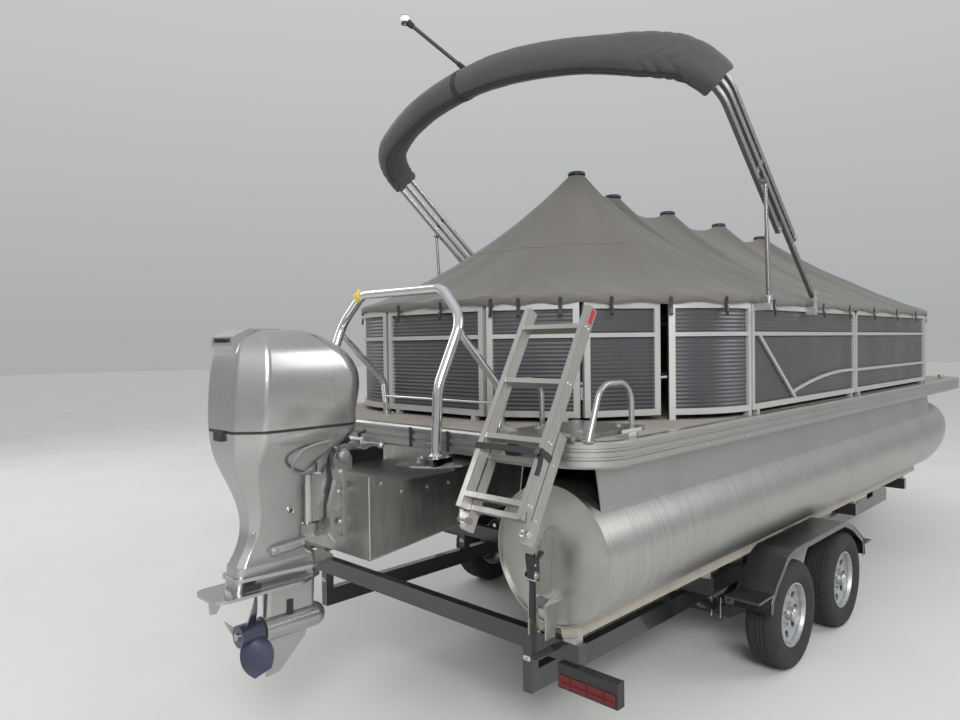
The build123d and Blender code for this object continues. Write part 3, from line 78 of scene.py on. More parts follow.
def make_camera():
    data = bpy.data.cameras.new("camera")
    data.sensor_width = SENSOR
    data.lens = SENSOR * FOCAL_PX / FRAME_PX
    data.clip_start = 0.05
    data.clip_end = 300
    camera = link(bpy.data.objects.new("camera", data))
    yaw = math.radians(CAMERA_YAW)
    pitch = math.radians(CAMERA_PITCH)
    forward = Vector((math.cos(yaw) * math.cos(pitch), math.sin(yaw) * math.cos(pitch), math.sin(pitch)))
    level = forward.cross(Vector((0, 0, 1))).normalized()
    right = Matrix.Rotation(math.radians(CAMERA_ROLL), 3, forward) @ level
    up = right.cross(forward)
    turn = Matrix((right, up, -forward)).transposed().to_4x4()
    camera.matrix_world = Matrix.Translation(at(*CAMERA_AT)) @ turn
    bpy.context.scene.camera = camera


# Material building blocks
MATERIALS = {}
DUST_GREY = 0.30


class Shade:
    """One node-based material; every method adds a node and returns its output."""

    def __init__(self, name, color, rough, metal=0.0, **sockets):
        self.mat = bpy.data.materials.new(name)
        self.mat.use_nodes = True
        self.tree = self.mat.node_tree
        self.bsdf = self.tree.nodes["Principled BSDF"]
        self.bsdf.inputs["Base Color"].default_value = (*color, 1)
        self.bsdf.inputs["Roughness"].default_value = rough
        self.bsdf.inputs["Metallic"].default_value = metal
        self.rough = rough
        for key, value in sockets.items():
            self.bsdf.inputs[key.replace("_", " ")].default_value = value
        self.height = None
        MATERIALS[name] = self.mat

    def add(self, kind, **values):
        node = self.tree.nodes.new(kind)
        for key, value in values.items():
            setattr(node, key, value)
        return node

    def link(self, a, b):
        self.tree.links.new(a, b)

    def place(self, stretch=(1, 1, 1), uv=False):
        coords = self.add("ShaderNodeTexCoord")
        mapping = self.add("ShaderNodeMapping")
        mapping.inputs["Scale"].default_value = stretch
        self.link(coords.outputs["UV" if uv else "Object"], mapping.inputs["Vector"])
        return mapping.outputs["Vector"]

    def noise(self, scale, stretch=(1, 1, 1), detail=4.0, uv=False):
        node = self.add("ShaderNodeTexNoise")
        node.inputs["Scale"].default_value = scale
        node.inputs["Detail"].default_value = detail
        self.link(self.place(stretch, uv), node.inputs["Vector"])
        return node.outputs["Fac"]

    def wave(self, scale, direction, uv=False, stretch=(1, 1, 1)):
        node = self.add("ShaderNodeTexWave", bands_direction=direction)
        node.inputs["Scale"].default_value = scale
        self.link(self.place(stretch, uv), node.inputs["Vector"])
        return node.outputs["Fac"]

    def product(self, a, b):
        node = self.add("ShaderNodeMath", operation="MULTIPLY")
        self.link(a, node.inputs[0])
        self.link(b, node.inputs[1])
        return node.outputs[0]

    def span(self, value, low, high, out_low=0.0, out_high=1.0):
        node = self.add("ShaderNodeMapRange")
        self.link(value, node.inputs["Value"])
        ends = {"From Min": low, "From Max": high, "To Min": out_low, "To Max": out_high}
        for key, number in ends.items():
            node.inputs[key].default_value = number
        return node.outputs["Result"]

    def tint(self, factor, color, low=0.35, high=0.65, strength=1.0):
        """Paints color over what is there, where factor is high."""
        mix = self.add("ShaderNodeMix", data_type="RGBA")
        base = self.bsdf.inputs["Base Color"]
        if base.is_linked:
            self.link(base.links[0].from_socket, mix.inputs[6])
        else:
            mix.inputs[6].default_value = base.default_value
        mix.inputs[7].default_value = (*color, 1)
        self.link(self.span(factor, low, high, 0, strength), mix.inputs[0])
        self.link(mix.outputs[2], base)
        return self

    def vary_rough(self, factor, spread, low=0.3, high=0.7):
        self.link(self.span(factor, low, high, self.rough - spread, self.rough + spread),
                  self.bsdf.inputs["Roughness"])
        return self

    def bump(self, height, depth, strength):
        node = self.add("ShaderNodeBump")
        node.inputs["Distance"].default_value = depth
        node.inputs["Strength"].default_value = strength
        self.link(height, node.inputs["Height"])
        if self.height is not None:
            self.link(self.height, node.inputs["Normal"])
        self.height = node.outputs["Normal"]
        self.link(self.height, self.bsdf.inputs["Normal"])
        return self


def shade_of(color, share):
    return tuple(c * share for c in color)


def metal(name, color, rough, stretch, mottle=0.8, grain=0.0003):
    """Bare or anodised metal with fine draw marks along the unstretched direction."""
    m = Shade(name, color, rough, 1.0)
    streak = m.noise(3, stretch, 6)
    m.tint(streak, shade_of(color, mottle), 0.45, 0.7)
    m.tint(m.noise(2.3, detail=5), shade_of(color, 0.86), 0.5, 0.75)
    m.vary_rough(m.noise(7, stretch, 3), 0.08)
    return m.bump(streak, grain, 0.5)


def paint(name, color, rough, metallic, coat=0.0, dust=0.06):
    """Sprayed paint, with a thin film of dust in soft patches."""
    m = Shade(name, color, rough, metallic, Coat_Weight=coat, Coat_Roughness=0.08)
    m.tint(m.noise(1.6, detail=4), [c * (1 - dust) + DUST_GREY * dust for c in color], 0.42, 0.72, 0.7)
    m.vary_rough(m.noise(4, (1, 1, 0.4), 4), 0.05)
    return m.bump(m.noise(700, detail=2), 0.00003, 0.3)


def plastic(name, color, rough):
    m = Shade(name, color, rough)
    m.tint(m.noise(9, detail=6), shade_of(color, 0.75), 0.5, 0.8)
    m.vary_rough(m.noise(60, detail=3), 0.07)
    return m.bump(m.noise(1400, detail=2), 0.0001, 0.4)


def cloth(name, color, weave, sheen):
    """Woven cloth; its UVs are in metres."""
    m = Shade(name, color, 0.85, 0.0, Sheen_Weight=sheen, Sheen_Roughness=0.5)
    m.tint(m.noise(1.1, detail=6), shade_of(color, 0.84), 0.45, 0.75)
    m.tint(m.noise(260, (1, 0.25, 1), 2, uv=True), shade_of(color, 1.14), 0.5, 0.8)
    m.vary_rough(m.noise(40, detail=3), 0.05)
    threads = m.product(m.wave(weave, "X", uv=True), m.wave(weave, "Y", uv=True))
    m.bump(threads, 0.0004, 0.5)
    return m.bump(m.noise(14, detail=5), 0.004, 0.25)


def carpet(name, color):
    m = Shade(name, color, 0.95, 0.0, Sheen_Weight=0.3)
    m.tint(m.noise(500, detail=2), shade_of(color, 0.45), 0.52, 0.7)
    m.tint(m.noise(6, detail=5), shade_of(color, 0.75), 0.5, 0.75)
    return m.bump(m.noise(350, detail=3), 0.002, 0.8)


def deck_vinyl():
    color = (0.36, 0.33, 0.29)
    m = Shade("deck_cover", color, 0.7)
    m.tint(m.wave(55, "X", stretch=(1, 1, 0)), shade_of(color, 0.78), 0.3, 0.7, 0.6)
    m.tint(m.noise(3, detail=7), shade_of(color, 0.8), 0.45, 0.75)
    m.vary_rough(m.noise(12, detail=4), 0.1)
    threads = m.product(m.wave(160, "X"), m.wave(160, "Y"))
    return m.bump(threads, 0.0008, 0.6)


def make_materials():
    metal("tube_metal", (0.47, 0.468, 0.452), 0.35, (34, 1.3, 1.3), 0.80, 0.00018)
    metal("rail_metal", (0.44, 0.44, 0.425), 0.36, (0.7, 90, 150), 0.90)
    metal("ladder_metal", (0.42, 0.412, 0.395), 0.36, (60, 60, 3), 0.88)
    metal("top_metal", (0.30, 0.30, 0.305), 0.34, (8, 80, 8), 0.88)
    metal("pod_metal", (0.44, 0.435, 0.42), 0.36, (9, 9, 1.3), 0.80)
    metal("galvanised", (0.52, 0.53, 0.54), 0.46, (12, 12, 12), 0.8)
    metal("bright_tube", (0.72, 0.72, 0.73), 0.09, (20, 20, 20), 0.96)
    paint("fence_frame", (0.50, 0.50, 0.485), 0.34, 0.55)
    paint("fence_skin", (0.085, 0.086, 0.092), 0.38, 0.75, dust=0.08)
    paint("motor_paint", (0.40, 0.40, 0.392), 0.27, 0.88, 0.5)
    paint("motor_dark", (0.035, 0.042, 0.075), 0.3, 0.3, 0.3, dust=0.15)
    paint("trailer_paint", (0.014, 0.014, 0.016), 0.30, 0.0, 0.7)
    plastic("black_plastic", (0.02, 0.02, 0.021), 0.5)
    plastic("grey_plastic", (0.30, 0.295, 0.275), 0.55)
    plastic("tyre_rubber", (0.022, 0.022, 0.023), 0.82)
    # lamp_red: the lens's own dark red, made darker still as painted shade for the shadow the tail lamps sit
    # in
    plastic("lamp_red", (0.10, 0.003, 0.004), 0.18)
    plastic("reflector_red", (0.42, 0.02, 0.02), 0.22)
    plastic("lens_clear", (0.80, 0.80, 0.78), 0.12)
    cloth("cover_cloth", (0.132, 0.124, 0.113), 900, 0.14)
    cloth("boot_cloth", (0.060, 0.060, 0.062), 900, 0.14)
    cloth("strap_web", (0.022, 0.022, 0.024), 1400, 0.06)
    cloth("binding", (0.090, 0.085, 0.078), 900, 0.1)
    cloth("boot_dark", (0.030, 0.030, 0.032), 900, 0.1)
    metal("bolt_metal", (0.62, 0.62, 0.62), 0.28, (20, 20, 20), 0.85)
    plastic("screw_black", (0.018, 0.018, 0.019), 0.42)
    plastic("hose_grey", (0.20, 0.20, 0.195), 0.45)
    plastic("clip_yellow", (0.70, 0.50, 0.06), 0.45)
    metal("cast_metal", (0.46, 0.46, 0.45), 0.40, (9, 9, 9), 0.88)
    carpet("bunk_carpet", (0.34, 0.31, 0.26))
    deck_vinyl()


def dress_nodes():
    slots = {row["node"]: row["material_slot"] for row in frame["record"]["subparts"]}
    for name, obj in NODES.items():
        obj.data.materials.clear()
        obj.data.materials.append(MATERIALS[slots[name]])


# Small building blocks for the added pieces
SHARP_ANGLE = math.radians(38)
UP = Vector((0, 0, 1))


def piece(name, mesh, material, body="root", bevel=0.0):
    """Links a finished mesh, with soft shading, its material and its body."""
    obj = link(bpy.data.objects.new(name, mesh))
    mesh.materials.append(MATERIALS[material])
    mesh.shade_smooth()
    mesh.set_sharp_from_angle(angle=SHARP_ANGLE)
    if bevel:
        edge = obj.modifiers.new("edge", "BEVEL")
        edge.width = bevel
        edge.segments = 2
        edge.limit_method = "ANGLE"
        edge.angle_limit = SHARP_ANGLE
    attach(obj, body)
    return obj


def basis(axis, side=(0, 1, 0)):
    """Turn that takes z to axis and keeps y near side."""
    z = Vector(axis).normalized()
    y = Vector(side) - z * Vector(side).dot(z)
    if y.length < 1e-4:
        y = z.orthogonal()
    y.normalize()
    return Matrix((y.cross(z), y, z)).transposed()


def round_turns(count):
    """Angles at even steps of a full turn."""
    return [2 * math.pi * k / count for k in range(count)]


def on_circle(centre, turn, r, a, h=0.0):
    """Point at radius r, angle a and height h about the z axis of turn."""
    return Vector(centre) + turn @ Vector((r * math.cos(a), r * math.sin(a), h))


def directions(points, closed):
    """Direction of a line at each of its points."""
    count = len(points)
    made = []
    for i, p in enumerate(points):
        before = points[i - 1] if i or closed else p
        after = points[(i + 1) % count] if i + 1 < count or closed else p
        made.append((after - before).normalized())
    return made


class Kit:
    """Gathers small rigid forms, placed as the boat is drawn, into one mesh."""

    def __init__(self):
        self.bm = bmesh.new()

    def put(self, verts, centre, turn, size=(1, 1, 1)):
        place = Matrix.Translation(centre) @ turn.to_4x4() @ Matrix.Diagonal((*size, 1))
        bmesh.ops.transform(self.bm, matrix=place, verts=verts)
        return self

    def box(self, centre, size, axis=(0, 0, 1), side=(0, 1, 0)):
        return self.put(bmesh.ops.create_cube(self.bm, size=1)["verts"], centre, basis(axis, side), size)

    def bar(self, p, q, wide, deep, side=(0, 1, 0)):
        p = Vector(p)
        q = Vector(q)
        return self.box((p + q) / 2, (deep, wide, (q - p).length), q - p, side)

    def rod(self, p, q, r, end_r=None, seg=28):
        p = Vector(p)
        q = Vector(q)
        made = bmesh.ops.create_cone(self.bm, cap_ends=True, segments=seg, radius1=r,
                                     radius2=r if end_r is None else end_r, depth=(q - p).length)
        return self.put(made["verts"], (p + q) / 2, basis(q - p))

    def ball(self, centre, r, flat=1.0, axis=(0, 0, 1)):
        made = bmesh.ops.create_uvsphere(self.bm, u_segments=24, v_segments=14, radius=r)
        return self.put(made["verts"], centre, basis(axis), (1, 1, flat))

    def bolt(self, centre, axis, r):
        """Washer and six-sided head that stand on a face at centre."""
        c = Vector(centre)
        a = Vector(axis).normalized()
        self.rod(c, c + a * r * 0.22, r * 1.55)
        return self.rod(c + a * r * 0.2, c + a * r * 0.95, r, r * 0.95, 6)

    def screw(self, centre, axis, r):
        return self.ball(centre, r, 0.42, axis)

    def verts(self, points):
        return [self.bm.verts.new(p) for p in points]

    def skin(self, rings, closed=False):
        """Faces between rings of vertices, with both ends capped unless closed."""
        count = len(rings)
        for i in range(count if closed else count - 1):
            a = rings[i]
            b = rings[(i + 1) % count]
            for k in range(len(a)):
                n = (k + 1) % len(a)
                self.bm.faces.new((a[k], a[n], b[n], b[k]))
        if not closed:
            self.bm.faces.new(rings[0][::-1])
            self.bm.faces.new(rings[-1])
        return self

    def tube(self, points, r, sides=12, closed=False):
        points = [Vector(p) for p in points]
        rings = []
        side = None
        for p, along in zip(points, directions(points, closed)):
            side = along.orthogonal() if side is None else side - along * side.dot(along)
            side.normalize()
            up = along.cross(side)
            ring = [p + (side * math.cos(a) + up * math.sin(a)) * r for a in round_turns(sides)]
            rings.append(self.verts(ring))
        return self.skin(rings, closed)

    def ring(self, centre, axis, big, small, seg=40):
        turn = basis(axis)
        line = [on_circle(centre, turn, big, a) for a in round_turns(seg)]
        return self.tube(line, small, 10, closed=True)

    def strip(self, points, ups, wide, thick, closed=False):
        """Flat band along points; its broad face looks along ups."""
        points = [Vector(p) for p in points]
        rings = []
        for i, (p, along) in enumerate(zip(points, directions(points, closed))):
            up = Vector(ups[i] if isinstance(ups, list) else ups)
            up = (up - along * up.dot(along)).normalized()
            across = along.cross(up) * wide / 2
            up = up * thick / 2
            corners = (across + up, up - across, -across - up, across - up)
            rings.append(self.verts(p + corner for corner in corners))
        return self.skin(rings, closed)

    def lathe(self, centre, axis, profile, seg=48):
        """Turns (radius, height) pairs about axis."""
        turn = basis(axis)
        rings = [self.verts(on_circle(centre, turn, r, a, h) for a in round_turns(seg)) for r, h in profile]
        return self.skin(rings)

    def make(self, name, material, body="root", bevel=0.0):
        bmesh.ops.recalc_face_normals(self.bm, faces=self.bm.faces)
        bmesh.ops.translate(self.bm, vec=at(0, 0, 0), verts=self.bm.verts)
        mesh = bpy.data.meshes.new(name)
        self.bm.to_mesh(mesh)
        self.bm.free()
        return piece(name, mesh, material, body, bevel)


def grid_mesh(name, rows, uvs, closed=False):
    """Mesh over rows of points, drawn as the boat is, with UVs in metres."""
    count = len(rows)
    wide = len(rows[0])
    mesh = bpy.data.meshes.new(name)
    faces = []
    for i in range(count if closed else count - 1):
        for j in range(wide - 1):
            a = i * wide + j
            b = ((i + 1) % count) * wide + j
            faces.append((a, a + 1, b + 1, b))
    mesh.from_pydata([tuple(Vector(p) + at(0, 0, 0)) for row in rows for p in row], [], faces)
    flat = [uv for row in uvs for uv in row]
    layer = mesh.uv_layers.new(name="UVMap")
    for loop in mesh.loops:
        layer.data[loop.index].uv = flat[loop.vertex_index]
    return mesh


def smooth_line(points, per=8):
    """Catmull-Rom line through points."""
    points = [Vector(p) for p in points]
    ends = [points[0] * 2 - points[1]] + points + [points[-1] * 2 - points[-2]]
    line = []
    for a, b, c, d in zip(ends, ends[1:], ends[2:], ends[3:]):
        for k in range(per):
            t = k / per
            line.append(0.5 * (2 * b + (c - a) * t + (2 * a - 5 * b + 4 * c - d) * t * t
                               + (3 * b - a - 3 * c + d) * t ** 3))
    return line + [points[-1]]


def spaced(points, step, closed=False):
    """Points at even steps along a line."""
    pts = np.array([tuple(p) for p in points] + ([tuple(points[0])] if closed else []), float)
    runs = np.concatenate([[0], np.cumsum(np.linalg.norm(np.diff(pts, axis=0), axis=1))])
    count = max(2, int(round(runs[-1] / step)))
    stations = np.linspace(0, runs[-1], count + 1)
    if closed:
        stations = stations[:-1]
    made = np.stack([np.interp(stations, runs, pts[:, k]) for k in range(pts.shape[1])], 1)
    return stations, made


def swell(value, low, high):
    """0 below low, 1 above high, and smooth between."""
    t = min(1.0, max(0.0, (value - low) / (high - low)))
    return t * t * (3 - 2 * t)


# Mooring cover: cloth stretched from its poles to the hem outside the fence
EDGE_Z = 2.160
HEM_Z = 2.112
HEM_RISE = 0.013
# x and height of each pole, and the dip of the ridge after it
POLES = [(1.480, 3.020), (1.900, 2.925), (2.650, 2.900), (3.510, 2.900), (4.350, 2.870)]
RIDGE_DIP = [0.020, 0.058, 0.060, 0.060]
NECK_RISE = 0.012
NECK_LONG = 0.10
VENT_R = 0.050
FULL_AT_POLE = 0.54
FULL_BETWEEN = 0.72
FULL_AFT = 0.467
FULL_BOW = 1.2
HEM_STEP = 0.024
CLOTH_ROWS = 46
SKIRT_ROWS = 6
# depth of the cloth's folds, broad hollows and fine creases, and its pull at each hook
FOLD_DEEP = 0.005
HOLLOW_DEEP = 0.010
CREASE_DEEP = 0.003
PULL_DEEP = 0.006
HEM_GAP = 0.001
HEM_BULGE = 0.004
HEM_RIPPLE = 0.0025
# x of the folding top's mounts, and half the stretch of hem that each one lifts
MOUNTS = ((2.190, 0.075), (1.440, 0.055))
MOUNT_HEM_Z = 2.124
MOUNT_SIDE = 1.2
# plan of the hem: its straight stern, then x, y, radius, start and end of each round corner
HEM_POINTS = [(0.266, 0.500), (0.266, -0.296), (0.520, -0.748), (0.905, -0.983)]
HEM_ARCS = [(1.400, -0.568, 0.656, 220, 270), (5.000, -0.900, 0.324, 270, 360), (5.000, 0.900, 0.324, 0, 90),
            (0.990, 0.500, 0.724, 90, 180)]
# run along the hem, from the aft panel's port end by starboard to the bow and back along port
HOOKS = [0.13, 0.48, 0.83, 0.98, 1.19, 1.47, 1.80, 2.10, 2.62, 3.38, 3.90, 4.45, 5.02, 5.60, 6.15, 6.75, 7.3,
         7.85, 8.45, 9.0, 9.6, 10.2, 10.7, 11.25, 11.8, 12.35, 12.8, 13.3]


def arc_line(cx, cy, r, start, end, count=26):
    turns = [math.radians(start + (end - start) * k / count) for k in range(count + 1)]
    return [(cx + r * math.cos(a), cy + r * math.sin(a)) for a in turns]


class Tent:
    """The cover's surface: a station is a place along the hem, t runs from the ridge, 0, to the hem, 1."""

    def __init__(self):
        line = list(HEM_POINTS)
        for arc in HEM_ARCS:
            line += arc_line(*arc)
        self.runs, plan = spaced(line[:-1], HEM_STEP, closed=True)
        for _ in range(3):
            plan = (np.roll(plan, 1, 0) + 2 * plan + np.roll(plan, -1, 0)) / 4
        self.plan = plan
        self.long = self.runs[-1] + HEM_STEP
        ahead = np.roll(plan, -1, 0) - np.roll(plan, 1, 0)
        ahead /= np.linalg.norm(ahead, axis=1)[:, None]
        self.out = np.stack([ahead[:, 1], -ahead[:, 0]], 1)

    def ridge(self, x):
        """Height of the ridge, and how far x is from the poles: 0 at one, 1 half way between two."""
        for (xa, za), (xb, zb), dip in zip(POLES, POLES[1:], RIDGE_DIP):
            if x <= xb:
                share = min(1.0, max(0.0, (x - xa - VENT_R) / (xb - xa - 2 * VENT_R)))
                z = za + (zb - za) * share - 4 * dip * share * (1 - share)
                return z, math.sin(math.pi * share) ** 2
        return POLES[-1][1], 0.0

    def point(self, i, t):
        hx, hy = self.plan[i]
        rx = min(POLES[-1][0], max(POLES[0][0], hx))
        top, between = self.ridge(rx)
        full = FULL_AT_POLE + (FULL_BETWEEN - FULL_AT_POLE) * between
        reach = math.hypot(hx - rx, hy)
        if hx != rx:
            square = ((hx - rx) / reach) ** 2
            full += ((FULL_AFT if hx < rx else FULL_BOW) - full) * square
        x = rx + (hx - rx) * t
        y = hy * t
        near = min(abs(rx - px) for px, _ in POLES)
        level = math.sqrt(max(0.0, VENT_R ** 2 - near ** 2))
        s = 1 - max(0.0, reach * t - level) / (reach - level)
        z = EDGE_Z + (top - EDGE_Z) * (full * s + (1 - full) * s * s)
        r = max(0.0, min(math.hypot(x - px, y) for px, _ in POLES) - VENT_R)
        z -= NECK_RISE * (1 - math.exp(-r / NECK_LONG)) * s
        taut = 4 * t * s
        fold = math.sin(self.runs[i] * 11.5 + 2.2 * noise.noise((self.runs[i] * 0.9, 0, 3.0)))
        z += FOLD_DEEP * taut * fold * swell(r, 0.2, 0.7)
        z += HOLLOW_DEEP * noise.noise((x * 1.6, y * 1.6, 1.0)) * taut
        z += CREASE_DEEP * noise.noise((x * 7, y * 7, 5.0)) * swell(t, 0.0, 0.3)
        z += self.pucker(i) * swell(t, 0.80, 1.0) * PULL_DEEP
        return Vector((x, y, z))

    def pucker(self, i):
        """1 at a hook and -1 half way between two of them."""
        run = self.runs[i]
        for a, b in zip(HOOKS, HOOKS[1:] + [HOOKS[0] + self.long]):
            if a <= run < b or a <= run + self.long < b:
                share = ((run if run >= a else run + self.long) - a) / (b - a)
                return math.cos(2 * math.pi * share)
        return 1.0

    def low(self, i):
        """Height of the hem's lower edge, which clears the folding top's mounts."""
        x, y = self.plan[i]
        z = HEM_Z + HEM_RISE * (1 - self.pucker(i)) / 2
        if abs(y) > MOUNT_SIDE:
            for mount, wide in MOUNTS:
                kept = swell(abs(x - mount), wide, wide + 0.05)
                z = max(z, MOUNT_HEM_Z + (z - MOUNT_HEM_Z) * kept)
        return z

    def skirt(self, i, share, lift=0.0):
        """Point on the hanging hem, share of the way down."""
        hx, hy = self.plan[i]
        z = EDGE_Z + (self.low(i) - EDGE_Z) * share
        ripple = HEM_RIPPLE * math.sin(self.runs[i] * 38) * share
        out = HEM_GAP + HEM_BULGE * math.sin(math.pi * min(1, share * 1.3)) + ripple + lift
        return Vector((hx + self.out[i][0] * out, hy + self.out[i][1] * out, z))

    def station(self, run):
        return int(round((run % self.long) / HEM_STEP)) % len(self.runs)


TENT = Tent()
# height from which the texture is laid out down the hanging hem
UV_TOP_Z = 2.2
SEAM_RUNS = (2.43, 5.30, 8.90, 12.05)
# seam round the stern: first and last run along the hem, and t
STERN_SEAM = (-1.15, 1.98, 0.50)
SEAM_WIDE = 0.014
SEAM_THICK = 0.0016


def cloth_up(i, t):
    """The cover's outward direction at a point."""
    n = len(TENT.runs)
    along = TENT.point((i + 1) % n, t) - TENT.point((i - 1) % n, t)
    down = TENT.point(i, min(1, t + 0.01)) - TENT.point(i, max(0, t - 0.01))
    up = along.cross(down)
    return (up if up.z > 0 else -up).normalized()


def make_cover_cloth():
    rows = []
    uvs = []
    for i in range(len(TENT.runs)):
        row = [TENT.point(i, (k / CLOTH_ROWS) ** 1.12) for k in range(CLOTH_ROWS + 1)]
        row += [TENT.skirt(i, (k + 1) / SKIRT_ROWS) for k in range(SKIRT_ROWS)]
        rows.append(row)
        uvs.append([(p.x, p.y + (UV_TOP_Z - p.z if p.z < EDGE_Z else 0)) for p in row])
    mesh = grid_mesh("mooring_cover", rows, uvs, closed=True)
    tidy = bmesh.new()
    tidy.from_mesh(mesh)
    bmesh.ops.remove_doubles(tidy, verts=tidy.verts, dist=0.0004)
    tidy.to_mesh(mesh)
    tidy.free()
    cover = piece("mooring_cover", mesh, "cover_cloth")
    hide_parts("cover")
    return cover


def make_cover_hem():
    count = len(TENT.runs)
    binding = Kit()
    edge = [TENT.skirt(i, 0.92, 0.0012) for i in range(count)]
    binding.strip(edge, [Vector((*TENT.out[i], 0)) for i in range(count)], 0.013, 0.0018, closed=True)
    return binding.make("cover_hem_binding", "binding")


def add_seam(kit, places):
    """Felled seam over places on the cloth, each a station and its t."""
    ups = [cloth_up(i, min(t, 0.99)) for i, t in places]
    line = [TENT.point(i, t) + up * SEAM_THICK / 2 for (i, t), up in zip(places, ups)]
    kit.strip(line, ups, SEAM_WIDE, SEAM_THICK)


def make_cover_seams():
    seams = Kit()
    first, last, t = STERN_SEAM
    add_seam(seams, [(TENT.station(first + (last - first) * k / 130), t) for k in range(131)])
    for run in SEAM_RUNS:
        i = TENT.station(run)
        add_seam(seams, [(i, 0.05 + 0.95 * k / 60) for k in range(61)])
    return seams.make("cover_seams", "cover_cloth")


def make_cover():
    cover = make_cover_cloth()
    hem = make_cover_hem()
    felled = make_cover_seams()


def make_hooks():
    """Black clips that hold the hem to the fence's top rail."""
    kit = Kit()
    for run in HOOKS:
        i = TENT.station(run)
        out = Vector((*TENT.out[i], 0))
        top = TENT.skirt(i, 0.35, 0.003)
        low = TENT.skirt(i, 1.0, 0.004) - UP * 0.010
        mid = low - UP * 0.020 + out * 0.004
        tip = low - UP * 0.044 + out * 0.010
        end = tip - out * 0.006 - UP * 0.004
        kit.strip([top, (top + low) / 2 + out * 0.001, low, mid, tip, end], out, 0.019, 0.004)
        kit.rod(top + out * 0.001, top + out * 0.0045, 0.0075, 0.006, 16)
        bend = low + out * 0.012 - UP * 0.010
        kit.strip([low + out * 0.004, bend, tip + out * 0.004], out, 0.012, 0.003)
    kit.make("cover_hooks", "screw_black", bevel=0.0006)


# Boot of the folding top
HINGE = Vector((2.190, 1.246, 2.195))
LEAN_TURN = math.radians(39.3)
LEAN = Vector((-math.cos(LEAN_TURN), 0, math.sin(LEAN_TURN)))
NORMAL = Vector((math.sin(LEAN_TURN), 0, math.cos(LEAN_TURN)))
TOP_LONG = 2.012
BOW_R = [0.33, 2.6, 2.3, 2.6, 0.33]
BOOT_PORT = 1.455
BOOT_STARBOARD = 1.585
BOOT_STEP = 0.011
BOOT_SIDES = 84
# lower end of the bows' legs, least y of a leg, and the middle of the bows' plane
LEG_START = 1.25
LEG_SIDE = 1.1
BOOT_MIDDLE = 1.2
BOOT_R = 0.085
# each end's cloth turned in: how deep, and its share of the radius
PORT_LIP = ((0.070, 0.72), (0.035, 0.86), (0.008, 0.94))
STARBOARD_LIP = ((0.008, 0.94), (0.035, 0.88), (0.080, 0.74))
# angles round the boot; the piping's also with its lift
PIPING = ((1.25, 0.0012), (-2.0, 0.0008))
ZIP_TURN = -1.72
SNAP_TURN = 3.05
SNAP_RUNS = (0.40, 0.72, 1.06, 1.44, 1.84, 2.22, 2.56)


def on_bow(s, y, off=0.0):
    return Vector((HINGE.x, 0, HINGE.z)) + LEAN * s + NORMAL * off + Vector((0, y, 0))


def fillet_path(points, radii):
    """Straight runs joined by arcs, in a plane."""
    pts = [Vector(p) for p in points]
    line = [pts[0]]
    for i, r in enumerate(radii, 1):
        a = (pts[i - 1] - pts[i]).normalized()
        b = (pts[i + 1] - pts[i]).normalized()
        turn = math.pi - a.angle(b)
        reach = r * math.tan(turn / 2)
        p = pts[i] + a * reach
        q = pts[i] + b * reach
        centre = pts[i] + (a + b).normalized() * (r / math.cos(turn / 2))
        steps = max(3, int(r * turn / 0.02))
        for k in range(steps + 1):
            share = k / steps
            u = (p - centre) * math.sin((1 - share) * turn) + (q - centre) * math.sin(share * turn)
            line.append(centre + u / math.sin(turn))
    return line + [pts[-1]]


def covered(s, y):
    """Whether the boot reaches a place on the bows."""
    return abs(y) <= LEG_SIDE or s >= (BOOT_PORT if y > 0 else BOOT_STARBOARD)


def boot_line():
    half = [(LEG_START, HINGE.y), (TOP_LONG - 0.322, HINGE.y + 0.022), (TOP_LONG - 0.087, 0.720),
            (TOP_LONG + 0.028, 0)]
    flat = half + [(s, -y) for s, y in reversed(half[:-1])]
    line = fillet_path([(s, y, 0) for s, y in flat], BOW_R)
    _, pts = spaced(line, BOOT_STEP)
    return [p for p in pts if covered(p[0], p[1])]


def in_space(v):
    """A direction on the bows' plane as one in space."""
    return LEAN * v.x + Vector((0, v.y, 0))


